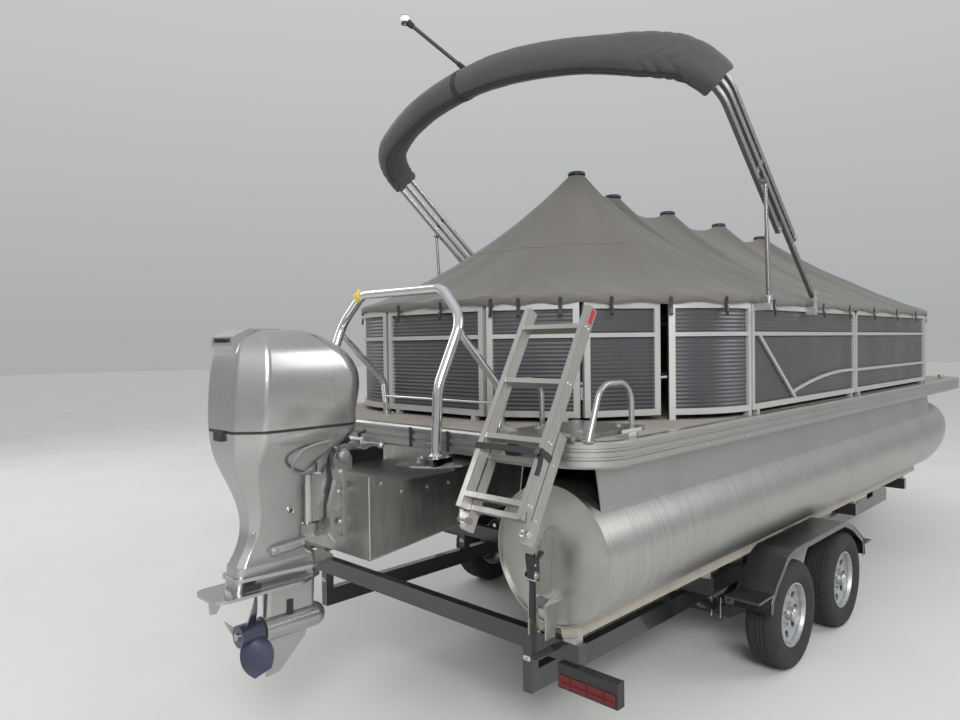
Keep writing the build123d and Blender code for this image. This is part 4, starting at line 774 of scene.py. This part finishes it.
class Boot:
    """Sleeve of cloth round the three bows; a place on it is a ring and an angle from outboard."""

    def __init__(self):
        self.pts = boot_line()
        self.count = len(self.pts)
        self.long = BOOT_STEP * (self.count - 1)

    def frame(self, i):
        """Centre of a ring, its outward direction and the one along the boot."""
        a = self.pts[max(i - 1, 0)]
        b = self.pts[min(i + 1, self.count - 1)]
        along = Vector((b[0] - a[0], b[1] - a[1], 0)).normalized()
        outward = Vector((-along.y, along.x, 0))
        away = Vector((self.pts[i][0] - BOOT_MIDDLE, self.pts[i][1], 0))
        if outward.x < 0 and abs(along.x) < 0.7 or outward.dot(away) < 0:
            outward = -outward
        return on_bow(self.pts[i][0], self.pts[i][1]), in_space(outward), in_space(along)

    def radius(self, run, turn):
        """Stuffed in the middle, creased at the starboard end and gathered at the port end."""
        left = self.long - run
        stuffed = 0.5 + 0.5 * noise.noise((run * 1.3, 0, 0))
        r = BOOT_R + 0.007 * stuffed
        r += 0.008 * math.sin(turn) ** 2
        shoulder = math.exp(-((left - 0.36) / 0.24) ** 2)
        r += 0.016 * shoulder + 0.006 * math.exp(-((run - 0.30) / 0.22) ** 2)
        wander = noise.noise((run * 5, math.cos(turn) * 1.2, math.sin(turn)))
        phase = left / 0.085 + 0.35 * math.sin(turn + 0.4) + 0.9 * wander
        crease = 1 - abs(math.sin(math.pi * phase))
        r -= 0.010 * crease ** 2 * math.exp(-((left - 0.26) / 0.17) ** 2)
        tight = math.exp(-(run / 0.20) ** 2)
        port = run / 0.045 + 0.8 * math.cos(turn) + noise.noise((run * 7, math.cos(turn), 4))
        r -= 0.009 * (1 - abs(math.sin(math.pi * port))) ** 2 * tight
        slack = math.sin(run * 7.3 + 1.4 * math.cos(turn))
        r += 0.0022 * slack * (1 - tight)
        r += 0.006 * noise.noise((run * 3.2, math.cos(turn) * 1.4, math.sin(turn) * 1.4))
        r += 0.0016 * noise.noise((run * 17, math.cos(turn) * 5, math.sin(turn) * 5))
        return r

    def point(self, i, turn, extra=0.0, shift=0.0):
        centre, outward, along = self.frame(i)
        r = self.radius(i * BOOT_STEP, turn) + extra
        return centre + (outward * math.cos(turn) + NORMAL * math.sin(turn)) * r + along * shift


BOOT = Boot()


def boot_ring(i, scale, shift):
    """Points of one ring, with the turned-in cloth of the ends, and their UVs."""
    centre, _, along = BOOT.frame(i)
    near = max(0.0, 1 - min(i, BOOT.count - 1 - i) / 9)
    turns = round_turns(BOOT_SIDES) + [2 * math.pi]
    row = []
    for a in turns:
        lip = 0.008 * math.sin(3 * a + (1 if i else 0)) + 0.004 * math.sin(5 * a)
        ahead = shift + (lip if i else -lip) * near
        p = BOOT.point(i, a, 0, ahead)
        row.append(centre + along * ahead + (p - centre - along * ahead) * scale)
    return row, [(a * 0.088, i * BOOT_STEP + shift) for a in turns]


def make_boot_cloth():
    rings = [boot_ring(0, scale, depth) for depth, scale in PORT_LIP]
    rings += [boot_ring(i, 1.0, 0.0) for i in range(BOOT.count)]
    rings += [boot_ring(BOOT.count - 1, scale, -depth) for depth, scale in STARBOARD_LIP]
    mesh = grid_mesh("top_boot_cloth", [row for row, _ in rings], [uvs for _, uvs in rings])
    boot = piece("top_boot_cloth", mesh, "boot_cloth", "folding_top")
    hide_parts("top_boot")
    return boot


def make_boot_trim():
    trim = Kit()
    for turn, lift in PIPING:
        trim.tube([BOOT.point(i, turn, lift) for i in range(4, BOOT.count - 6)], 0.0032, 8)
    stretch = range(8, BOOT.count - 14)
    ups = [BOOT.point(i, ZIP_TURN, 0.02) - BOOT.point(i, ZIP_TURN, 0) for i in stretch]
    trim.strip([BOOT.point(i, ZIP_TURN, 0.0012) for i in stretch], ups, 0.020, 0.0025)
    return trim.make("boot_piping_and_zip", "boot_dark", "folding_top")


def make_boot_snaps():
    snaps = Kit()
    for run in SNAP_RUNS:
        i = int(run / BOOT_STEP)
        p = BOOT.point(i, SNAP_TURN, -0.001)
        snaps.screw(p, BOOT.point(i, SNAP_TURN, 0.02) - p, 0.0085)
    snaps.make("boot_snaps", "bolt_metal", "folding_top")


def make_boot():
    boot = make_boot_cloth()
    lines = make_boot_trim()
    make_boot_snaps()


# Outboard motor: seam rubber, plugs, ports, plates, steering cylinder and hose
SIDES = (-1, 1)
# x and height of the oval port under the seam, and of the round cover on the leg
PORT_X = -0.867
PORT_Z = 1.523
COVER_X = -0.745
COVER_Z = 1.198


def cowl_ring(aft, fwd, half, z, r_front):
    """Outline of the motor's covers at one height: bevelled aft corners and round forward ones."""
    bevel = half * 0.46
    line = [(aft, -half + bevel), (aft, half - bevel), (aft + bevel, half)]
    line += arc_line(fwd - r_front, half - r_front, r_front, 90, 0, 10)
    line += arc_line(fwd - r_front, -half + r_front, r_front, 0, -90, 10)
    line += [(aft + bevel, -half)]
    return [(x, y, z) for x, y in line]


def make_motor_rubber():
    """Rubber in the cowl's seam, its aft latch, black patches as painted shade inside the leg's slots, and
    plugs below.
    """
    kit = Kit()
    ring = cowl_ring(aft=-1.0145, fwd=-0.4290, half=0.1985, z=1.5658, r_front=0.105)
    outs = [(Vector(p) - Vector((-0.72, 0, p[2]))).normalized() for p in ring]
    kit.strip(ring, outs, 0.0105, 0.008, closed=True)
    kit.box((-1.024, 0, 1.548), (0.014, 0.085, 0.042))
    kit.box((-1.029, 0, 1.532), (0.012, 0.060, 0.012))
    # black bars paint the shade inside the slots low on the leg
    for side in SIDES:
        kit.bar((-0.724, side * 0.0330, 0.786), (-0.724, side * 0.0330, 0.716), 0.008, 0.026)
    for side in SIDES:
        # black boxes paint the shade inside the slots above the plate
        kit.box((-0.930, side * 0.0845, 0.902), (0.075, 0.006, 0.024))
        mount = [(-0.545, side * 0.120, 1.478), (-0.50, side * 0.115, 1.487), (-0.455, side * 0.10, 1.482)]
        kit.tube(smooth_line(mount), 0.021)
    kit.make("motor_rubber_trim", "black_plastic", "motor", 0.0010)


def make_motor_castings():
    """Oval ports, round covers and mount covers of the leg with their screws, and the cowl's top cap."""
    kit = Kit()
    for side in SIDES:
        out = (0, side, 0)
        port = [(PORT_X + 0.015 * math.cos(a), side * 0.1925, PORT_Z + 0.023 * math.sin(a))
                for a in round_turns(24)]
        kit.tube(port, 0.0038, 8, closed=True)
        kit.ring((COVER_X, side * 0.0815, COVER_Z), out, 0.017, 0.0045)
        kit.screw((COVER_X, side * 0.0795, COVER_Z), out, 0.012)
        kit.screw((-0.905, side * 0.0600, 1.125), out, 0.0085)
        kit.screw((-0.672, side * 0.0655, 1.124), out, 0.0075)
        boss = [(-0.835, side * 0.0640, 1.030), (-0.790, side * 0.0700, 1.036),
                (-0.720, side * 0.0710, 1.042), (-0.668, side * 0.0640, 1.048)]
        kit.tube(smooth_line(boss), 0.0235, 16)
        kit.bolt((-0.815, side * 0.0880, 1.034), (0, side, 0.1), 0.010)
        kit.bolt((-0.690, side * 0.0900, 1.046), (0, side, 0.1), 0.008)
        kit.bar((-0.960, side * 0.0800, 0.885), (-0.640, side * 0.0870, 0.885), 0.012, 0.004, UP)
    kit.lathe((-0.720, 0, 1.9885), UP, [(0.030, 0), (0.028, 0.004), (0.0, 0.006)], 24)
    kit.make("motor_small_castings", "cast_metal", "motor", 0.0012)
    kit = Kit()
    for side in SIDES:
        kit.ball((PORT_X, side * 0.1915, PORT_Z), 0.013, 0.5, (0, side, 0))
        kit.rod((COVER_X, side * 0.0840, COVER_Z), (COVER_X, side * 0.0852, COVER_Z), 0.0075)
    kit.make("motor_port_plugs", "screw_black", "motor")


def make_flush_hose():
    kit = Kit()
    loop = [(-0.560, -0.175, 1.500), (-0.640, -0.195, 1.497), (-0.735, -0.196, 1.478),
            (-0.785, -0.186, 1.430), (-0.775, -0.165, 1.385), (-0.715, -0.138, 1.362),
            (-0.655, -0.112, 1.372)]
    kit.tube(smooth_line(loop, 10), 0.0065)
    kit.rod((-0.560, -0.172, 1.500), (-0.610, -0.190, 1.499), 0.012, 0.009)
    kit.rod((-0.655, -0.112, 1.372), (-0.690, -0.127, 1.366), 0.011, 0.0085)
    kit.make("motor_flush_hose", "hose_grey", "motor")


STEER_X = -0.352
STEER_Z = 1.455
CYLINDER_ENDS = (-0.098, 0.130)
STEER_ROD_ENDS = (-0.225, 0.235)


def make_steering():
    """Hydraulic cylinder across the tilt tube with its rods, arms and fittings, and the clamp's bolts."""
    x = STEER_X
    z = STEER_Z
    kit = Kit()
    low, high = CYLINDER_ENDS
    kit.rod((x, low, z), (x, high, z), 0.0275)
    for y in CYLINDER_ENDS:
        kit.rod((x, y - 0.012, z), (x, y + 0.012, z), 0.0315)
    low, high = STEER_ROD_ENDS
    kit.rod((x, low, z), (x, high, z), 0.0085)
    for y in (-0.052, 0.052):
        kit.bar((x, y, z - 0.004), (-0.462, y, 1.428), 0.012, 0.036)
    for y in STEER_ROD_ENDS:
        kit.ball((x, y, z), 0.016)
    kit.make("steering_cylinder", "cast_metal", "motor_tilt", 0.0010)
    kit = Kit()
    for y in (-0.060, 0.090):
        kit.rod((x, y, z + 0.024), (x, y, z + 0.044), 0.008)
        kit.rod((x, y, z + 0.040), (x + 0.038, y, z + 0.052), 0.0065)
    kit.make("steering_fittings", "screw_black", "motor_tilt")
    kit = Kit()
    for side in SIDES:
        kit.bolt((-0.480, side * 0.112, 1.415), (0, side, 0), 0.018)
        for x, z in ((-0.502, 1.245), (-0.495, 1.105), (-0.487, 1.335)):
            kit.bolt((x, side * 0.100, z), (0, side, 0), 0.009)
        for z in (1.080, 1.250):
            kit.bolt((-0.4345, side * 0.088, z), (1, 0, 0), 0.010)
    kit.make("clamp_bolts", "bolt_metal")


WELD_R = 0.0035


def make_pod_details():
    """Weld beads and bolts of the pod."""
    kit = Kit()
    for side in SIDES:
        y = side * 0.2855
        keel = [(-0.468, y, 0.956), (-0.300, y, 0.974), (-0.05, y, 1.000), (0.255, y, 1.032)]
        kit.tube(smooth_line(keel, 10), WELD_R, 8)
        kit.tube([(-0.469, y, 0.960), (-0.469, y, 1.140), (-0.469, y, 1.328)], WELD_R, 8)
        for x, z in ((-0.40, 1.290), (-0.28, 1.235), (-0.12, 1.235), (0.02, 1.235)):
            kit.bolt((x, side * 0.285, z), (0, side, 0), 0.007)
    kit.make("pod_welds_and_bolts", "galvanised")


# Boarding ladder: strap with its buckle, reflector, feet, washers and rivets
LADDER_LEAN_DEG = 28.9
LAD = Vector((math.sin(math.radians(LADDER_LEAN_DEG)), 0, math.cos(math.radians(LADDER_LEAN_DEG))))
LAD_OFF = Vector((LAD.z, 0, -LAD.x))
LADDER_FOOT = Vector((-0.354, 0, 1.243))
LADDER_Y = -0.929
LADDER_HALF = 0.164
LADDER_RIGHT = LADDER_Y - LADDER_HALF
LADDER_LEFT = LADDER_Y + LADDER_HALF
# outer face of each rail, and the way it looks
LADDER_FACES = ((LADDER_RIGHT - 0.0142, -1), (LADDER_LEFT + 0.0142, 1))
RIVET_R = 0.0062
STRAP_AT = 0.268
STRAP_HALF = LADDER_HALF + 0.0175
STRAP_THICK = 0.0022


def on_ladder(s, off, y):
    return LADDER_FOOT + LAD * s + LAD_OFF * off + Vector((0, y, 0))


def make_ladder_fittings():
    """Reflector, rivets and caps of the folding section; rivets, pivots and base bolts of the fixed one."""
    plate = Kit().box(on_ladder(0.896, 0.006, LADDER_RIGHT - 0.0147), (0.024, 0.0014, 0.064), LAD)
    plate.make("ladder_reflector", "reflector_red", "ladder")
    kit = Kit()
    for s in (0.060, 0.320, 0.580, 0.840):
        for y, side in LADDER_FACES:
            kit.screw(on_ladder(s, 0.010, y), (0, side, 0), RIVET_R)
            kit.screw(on_ladder(s, -0.010, y), (0, side, 0), RIVET_R)
    for y in (LADDER_RIGHT, LADDER_LEFT):
        kit.box(on_ladder(0.9355, 0, y), (0.060, 0.0295, 0.002), LAD)
    kit.make("ladder_rivets_and_caps", "bolt_metal", "ladder", 0.0005)
    kit = Kit()
    for y, side in LADDER_FACES:
        for s in (0.020, 0.250):
            kit.screw(on_ladder(s, 0.062, y), (0, side, 0), RIVET_R)
        kit.bolt(on_ladder(-0.040, 0.031, y + side * 0.0085), (0, side, 0), 0.0095)
    for y in (-1.039, -0.800):
        for x in (0.093, 0.380):
            kit.bolt((x, y, 1.536), UP, 0.011)
    kit.make("ladder_bolts", "bolt_metal")


def make_ladder_strap():
    """Webbing that ties both sections of rails together, with its tail and cam buckle."""
    s = STRAP_AT
    right = LADDER_Y - STRAP_HALF
    strap = Kit()
    line = [on_ladder(s, -0.0335, right), on_ladder(s, -0.0345, LADDER_Y),
            on_ladder(s, -0.0335, LADDER_Y + STRAP_HALF)]
    strap.strip(smooth_line(line, 8), LAD_OFF * -1, 0.026, STRAP_THICK)
    for side in SIDES:
        y = LADDER_Y + side * STRAP_HALF
        middle = on_ladder(s, 0.0, y + side * 0.0010)
        wrap = [on_ladder(s, -0.0345, y), middle, on_ladder(s - 0.004, 0.033, y)]
        strap.strip(wrap, (0, side, 0), 0.026, STRAP_THICK)
    tail = [on_ladder(s, -0.037, right + 0.03), on_ladder(s - 0.02, -0.042, right - 0.004),
            on_ladder(s - 0.055, -0.040, right - 0.012), on_ladder(s - 0.095, -0.037, right - 0.010)]
    strap.strip(smooth_line(tail, 8), LAD_OFF * -1, 0.024, STRAP_THICK)
    strap.make("ladder_strap", "strap_web", "ladder")
    buckle = Kit()
    centre = on_ladder(s - 0.004, -0.041, right + 0.012)
    buckle.box(centre, (0.011, 0.040, 0.036), LAD)
    buckle.rod(centre - LAD * 0.02 - LAD_OFF * 0.006, centre + LAD * 0.02 - LAD_OFF * 0.006, 0.004)
    lever = centre - LAD_OFF * 0.008 + Vector((0, 0.012, 0))
    buckle.bar(lever, centre - LAD_OFF * 0.018 - Vector((0, 0.020, 0)), 0.026, 0.003, LAD)
    buckle.make("ladder_buckle", "screw_black", "ladder", 0.0012)


def make_ladder_feet():
    """Moulded feet of the fixed section, proud of its rails on the inner side only: lugs pass outside."""
    kit = Kit()
    for y, inward in ((LADDER_RIGHT, 0.0015), (LADDER_LEFT, -0.0015)):
        for k in range(7):
            grow = 0.0012 if k % 2 else 0.0
            kit.box(on_ladder(-0.067 + 0.0105 * k, 0.064, y + inward), (0.060 + grow, 0.0300, 0.0098), LAD)
        kit.box(on_ladder(-0.0735, 0.066, y + inward), (0.056, 0.0280, 0.005), LAD)
    kit.make("ladder_feet", "grey_plastic", "root", 0.0014)


# Stern and deck: clip and bolts of the tow bar, screws and the fascia's socket
DECK_FACE_Z = 1.522
TOW_FOOT_Y = 0.455
FASCIA_X = -0.0903
DECK_EDGE_Y = 1.2602


def make_tow_bar_details():
    """Rope clip, and the collars and bolts of the bar's feet and braces."""
    kit = Kit()
    a = Vector((-0.0515, 0.352, 2.1725))
    b = Vector((-0.0450, 0.322, 2.1895))
    kit.rod(a, b, 0.0285, 0.0285, 24)
    kit.box((a + b) / 2 + UP * 0.028, (0.018, 0.030, 0.012), b - a)
    kit.make("tow_rope_clip", "clip_yellow", "root", 0.0012)
    kit = Kit()
    collar = [(0.036, 0), (0.036, 0.004), (0.028, 0.012), (0.0245, 0.016)]
    for side in SIDES:
        y = side * TOW_FOOT_Y
        kit.lathe((-0.215, y, 1.4065), (0.05, 0, 1), collar, 32)
        for bx in (-0.268, -0.182):
            for by in (-0.040, 0.040):
                kit.bolt((bx, y + by, 1.4062), UP, 0.0085)
        for k in range(4):
            turn = math.pi / 4 + k * math.pi / 2
            place = (0.225 + 0.031 * math.cos(turn), y + 0.031 * math.sin(turn), DECK_FACE_Z)
            kit.bolt(place, UP, 0.006)
    kit.make("tow_bar_bolts", "bolt_metal")


def make_deck_screws():
    """Rivets of the fascia and the deck's edges, screws of the grab rails, and the fascia's socket cap."""
    kit = Kit()
    for y in (-1.0, -0.62, -0.27, 0.0, 0.27, 0.55, 0.8, 1.0):
        for z in (1.4360, 1.4830):
            kit.screw((FASCIA_X, y, z), (-1, 0, 0), 0.0045)
    for side in SIDES:
        for k in range(13):
            kit.screw((0.35 + 0.45 * k, side * DECK_EDGE_Y, 1.4220), (0, side, 0), 0.0050)
    for x in (-0.02, 0.30):
        for y in (-0.655, -1.160):
            for k in range(3):
                turn = 2 * math.pi * k / 3 + 0.5
                place = (x + 0.020 * math.cos(turn), y + 0.020 * math.sin(turn), 1.5205)
                kit.screw(place, UP, 0.0040)
    kit.make("deck_screws", "bolt_metal")
    profile = [(0.0245, 0.0), (0.0245, 0.0020), (0.016, 0.0055), (0.006, 0.0068), (0.0, 0.0068)]
    cap = Kit().lathe((-0.0942, -0.808, 1.452), (-1, 0, 0), profile, 32)
    cap.make("fascia_socket_cap", "screw_black")


# Light pole: round lens over a dark collar, and the strap at its foot
POLE_Y = 0.200
POLE_HALF = 0.024


def make_pole_details():
    low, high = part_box("light_pole")
    tip = Vector((low.x + POLE_HALF + SHIFT, high.y - POLE_HALF, high.z - POLE_HALF))
    Kit().ball(tip + UP * 0.004, 0.0295).make("pole_light_lens", "lens_clear", "folding_top")
    base = on_bow(TOP_LONG - 0.010, POLE_Y, 0.100)
    along = (tip - base).normalized()
    kit = Kit()
    kit.rod(tip - along * 0.060, tip - along * 0.020, 0.0165, 0.021)
    kit.rod(base + along * 0.030, base + along * 0.100, 0.0175, 0.0145)
    i = min(range(BOOT.count), key=lambda n: abs(BOOT.pts[n][1] - POLE_Y))
    turns = round_turns(40) + [2 * math.pi]
    ups = [BOOT.point(i, a, 0.02) - BOOT.point(i, a) for a in turns]
    kit.strip([BOOT.point(i, a, 0.0018) for a in turns], ups, 0.040, 0.0022)
    kit.make("pole_strap", "strap_web", "folding_top")


# Folding top: joints, rivets and end caps of its legs
BOW_GAP = 0.062
MOUNT_FACE_Y = 1.2692
STRUT_FOOT = (1.440, 1.292, 2.132)


def make_top_details():
    kit = Kit()
    for side in SIDES:
        y = side * HINGE.y
        out = (0, side, 0)
        for start, off in ((0.430, BOW_GAP), (0.620, -BOW_GAP)):
            for reach in (0.0, off):
                kit.bolt(on_bow(start, y + side * 0.0155, reach), out, 0.008)
        for s in (0.75, 1.05, 1.30):
            for off in (-BOW_GAP, 0.0, BOW_GAP):
                kit.screw(on_bow(s, y + side * 0.0152, off), out, 0.0055)
        plate = y + side * 0.0165
        kit.bar(on_bow(1.02, plate, -0.075), on_bow(1.02, plate, 0.075), 0.0025, 0.028, (0, 1, 0))
    kit.make("top_rivets", "bolt_metal", "folding_top", 0.0006)
    kit = Kit()
    x, y, z = STRUT_FOOT
    cap = [(0.0, 0), (0.019, 0), (0.019, 0.020), (0.014, 0.026), (0.0, 0.026)]
    for side in SIDES:
        kit.lathe((x, side * y, z), UP, cap, 24)
        kit.bolt((HINGE.x, side * MOUNT_FACE_Y, 2.195), (0, side, 0), 0.011)
        for dx in (-0.020, 0.020):
            kit.bolt((HINGE.x + dx, side * MOUNT_FACE_Y, 2.090), (0, side, 0), 0.006)
    kit.make("top_mount_bolts", "bolt_metal")


# Trailer: treaded tyres, nuts and hub caps, bolts, lamp ribs and beads
TYRE_R = 0.3135
TYRE_HALF = 0.0925
RIM_R = 0.184
WHEEL_Y = 1.190
AXLE_X = {"rear": 1.846, "front": 2.694}
TREAD_STEPS = 168
RIB_CENTRES = (-0.0340, -0.0115, 0.0115, 0.0340)
RIB_HALF = 0.0088
RIB_CUT = 0.0055
GROOVE_DEEP = 0.0075
NUT_RING_R = 0.058


def tyre_rows():
    """Across the tyre: radius, side step and depth of the tread's cross cuts."""
    # out from the rim and in from the tyre's side
    wall = [(0, 0.022), (0.010, 0.013), (0.016, 0.010), (0.019, 0.012), (0.040, 0.004), (0.060, 0.0005),
            (0.063, 0.0025), (0.085, 0.001)]
    # below the tread, in from the tyre's side, and cut
    shoulder = [(0.026, 0.004, 0), (0.022, 0.0065, 0.001), (0.010, 0.015, 0.004), (0.003, 0.026, 0.006)]
    flank = [(RIM_R + out, -TYRE_HALF + inward, 0) for out, inward in wall]
    flank += [(TYRE_R - below, -TYRE_HALF + inward, cut) for below, inward, cut in shoulder]
    rows = list(flank)
    for centre in RIB_CENTRES:
        rows += [(TYRE_R, centre + step, RIB_CUT) for step in (-RIB_HALF, 0, RIB_HALF)]
        if centre != RIB_CENTRES[-1]:
            rows += [(TYRE_R - GROOVE_DEEP, centre + 0.0096, 0), (TYRE_R - GROOVE_DEEP, centre + 0.0129, 0)]
    return rows + [(r, -y, cut) for r, y, cut in reversed(flank)]


def make_tyre(word, x, side):
    rows = tyre_rows()
    rings = []
    uvs = []
    for k, turn in enumerate(round_turns(TREAD_STEPS)):
        ring = []
        for n, (r, y, cut) in enumerate(rows):
            lean = k + (1 if (n // 5) % 2 else 0)
            r -= cut if lean % 4 == 0 else 0
            ring.append(Vector((x + r * math.sin(turn), side * WHEEL_Y + y, TYRE_R - r * math.cos(turn))))
        rings.append(ring)
        uvs.append([(turn, y) for _, y, _ in rows])
    mesh = grid_mesh(f"tyre_tread_{word}", rings, uvs, closed=True)
    tyre = piece(f"tyre_tread_{word}", mesh, "tyre_rubber", f"wheel_{word}")
    flip = bmesh.new()
    flip.from_mesh(tyre.data)
    bmesh.ops.recalc_face_normals(flip, faces=flip.faces)
    flip.to_mesh(tyre.data)
    flip.free()
    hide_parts(f"tyre_{word}")


def make_wheel_nuts(word, x, side):
    """Nuts, hub cap and valve of one wheel."""
    kit = Kit()
    for k in range(5):
        turn = 2 * math.pi * k / 5 + 0.3
        dx = NUT_RING_R * math.cos(turn)
        dz = NUT_RING_R * math.sin(turn)
        c = Vector((x + dx, side * (WHEEL_Y + 0.048), TYRE_R + dz))
        kit.rod(c - Vector((0, side * 0.008, 0)), c + Vector((0, side * 0.012, 0)), 0.0105, 0.0095, 6)
    cap = [(0.0, -0.004), (0.035, -0.004), (0.035, 0.004), (0.028, 0.012), (0.0, 0.014)]
    kit.lathe(Vector((x, side * (WHEEL_Y + 0.0735), TYRE_R)), (0, side, 0), cap, 32)
    v = Vector((x + 0.150 * math.cos(2.0), side * (WHEEL_Y + 0.052), TYRE_R + 0.150 * math.sin(2.0)))
    kit.rod(v, v + Vector((0, side * 0.022, 0)), 0.004)
    kit.make(f"wheel_nuts_{word}", "bolt_metal", f"wheel_{word}", 0.0006)


def make_wheels():
    for end, side in (("port", 1), ("starboard", -1)):
        for axle, x in AXLE_X.items():
            make_tyre(f"{end}_{axle}", x, side)
            make_wheel_nuts(f"{end}_{axle}", x, side)


# the frame's cross beams, with the stern's last
BEAM_X = (1.180, 2.270, 3.560, 4.900, 0.025)
LAMP_Y = 1.140
# x and height along the edge of a fender, from aft
FENDER_EDGE = [(1.440, 0.432), (1.457, 0.500), (1.519, 0.575), (1.671, 0.689), (1.766, 0.717),
               (2.624, 0.717), (2.791, 0.659), (3.002, 0.534), (3.032, 0.417)]
FENDER_EDGE_Y = 1.2965


def make_trailer_bolts():
    """Bolts of the beams, of the springs with their shackles, and of the fenders."""
    kit = Kit()
    for side in SIDES:
        for x in BEAM_X:
            for y in (0.790, 0.810):
                kit.bolt((x + 0.0253, side * y, 0.515), (1, 0, 0), 0.008)
                kit.bolt((x - 0.0253, side * y, 0.515), (-1, 0, 0), 0.008)
        for x in AXLE_X.values():
            for dx in (-0.036, 0.036):
                for y in (0.770, 0.830):
                    kit.rod((x + dx, side * y, 0.196), (x + dx, side * y, 0.318), 0.0055)
                    kit.rod((x + dx, side * y, 0.192), (x + dx, side * y, 0.203), 0.009, 0.009, 6)
            for end in (-0.310, 0.310):
                kit.rod((x + end, side * 0.770, 0.350), (x + end, side * 0.830, 0.350), 0.009)
        for x in (1.780, 2.270):
            kit.bolt((x, side * 1.0795, 0.640), (0, side, 0), 0.008)
    kit.make("trailer_bolts", "bolt_metal")


def make_trailer_trims():
    kit = Kit()
    for side in SIDES:
        y = side * LAMP_Y
        kit.box((-0.0255, y, 0.4835), (0.0035, 0.262, 0.004))
        for step in (-0.085, 0.0, 0.085):
            kit.box((-0.0255, y + step, 0.4880), (0.0030, 0.003, 0.040))
    # the lamp's ribs take its red, which holds painted shade
    kit.make("lamp_ribs", "lamp_red")
    kit = Kit()
    for side in SIDES:
        kit.tube([(x, side * FENDER_EDGE_Y, z + 0.0008) for x, z in FENDER_EDGE], 0.0055, 10)
    kit.make("fender_edge_beads", "trailer_paint")


RATCHET_X = -0.128


def make_ratchets():
    """Spools and discs of the ratchets on the straps that hold the tubes down."""
    disc = [(0.0, 0), (0.014, 0), (0.014, 0.004), (0.0, 0.004)]
    kit = Kit()
    for side in SIDES:
        y = side * 0.940
        for z in (0.930, 0.962, 0.994):
            kit.rod((RATCHET_X, y - 0.024, z), (RATCHET_X, y + 0.024, z), 0.006)
        for end in SIDES:
            kit.lathe((RATCHET_X, y + end * 0.026, 0.950), (0, end, 0), disc, 16)
    kit.make("ratchet_spools", "bolt_metal", "root", 0.0006)


# Stage
FLOOR_R = 60.0


def make_stage():
    bpy.ops.mesh.primitive_circle_add(vertices=96, radius=FLOOR_R, fill_type="NGON", location=(0, 0, 0))
    floor = bpy.context.object
    floor.name = "floor"
    m = Shade("floor", (0.70, 0.695, 0.68), 0.8)
    m.tint(m.noise(0.8, detail=5), (0.665, 0.66, 0.645), 0.4, 0.7)
    floor.data.materials.append(m.mat)
    world = bpy.data.worlds.new("studio")
    bpy.context.scene.world = world
    world.use_nodes = True
    tree = world.node_tree
    coords = tree.nodes.new("ShaderNodeTexCoord")
    split = tree.nodes.new("ShaderNodeSeparateXYZ")
    ramp = tree.nodes.new("ShaderNodeMapRange")
    ramp.inputs["To Min"].default_value = 0.42
    ramp.inputs["To Max"].default_value = 0.80
    tree.links.new(coords.outputs["Generated"], split.inputs[0])
    tree.links.new(split.outputs["Z"], ramp.inputs["Value"])
    tree.links.new(ramp.outputs["Result"], tree.nodes["Background"].inputs["Strength"])
    tree.nodes["Background"].inputs["Color"].default_value = (0.97, 0.985, 1.0, 1)
    # place, size and power of the soft boxes
    for spot, size, power in (((-9, -7, 6), 4, 800), ((5, -10, 7), 5, 330), ((-5, 10, 7), 6, 260)):
        data = bpy.data.lights.new("softbox", "AREA")
        data.size = size
        data.energy = power
        lamp = link(bpy.data.objects.new("softbox", data))
        lamp.location = spot
        lamp.rotation_euler = (Vector((0, 0, 1.2)) - lamp.location).to_track_quat("-Z", "Y").to_euler()


make_camera()
make_materials()
dress_nodes()
make_cover()
make_hooks()
make_boot()
make_motor_rubber()
make_motor_castings()
make_flush_hose()
make_steering()
make_pod_details()
make_ladder_fittings()
make_ladder_strap()
make_ladder_feet()
make_tow_bar_details()
make_deck_screws()
make_pole_details()
make_top_details()
make_wheels()
make_trailer_bolts()
make_trailer_trims()
make_ratchets()
make_stage()
bpy.context.scene.view_settings.view_transform = "Standard"
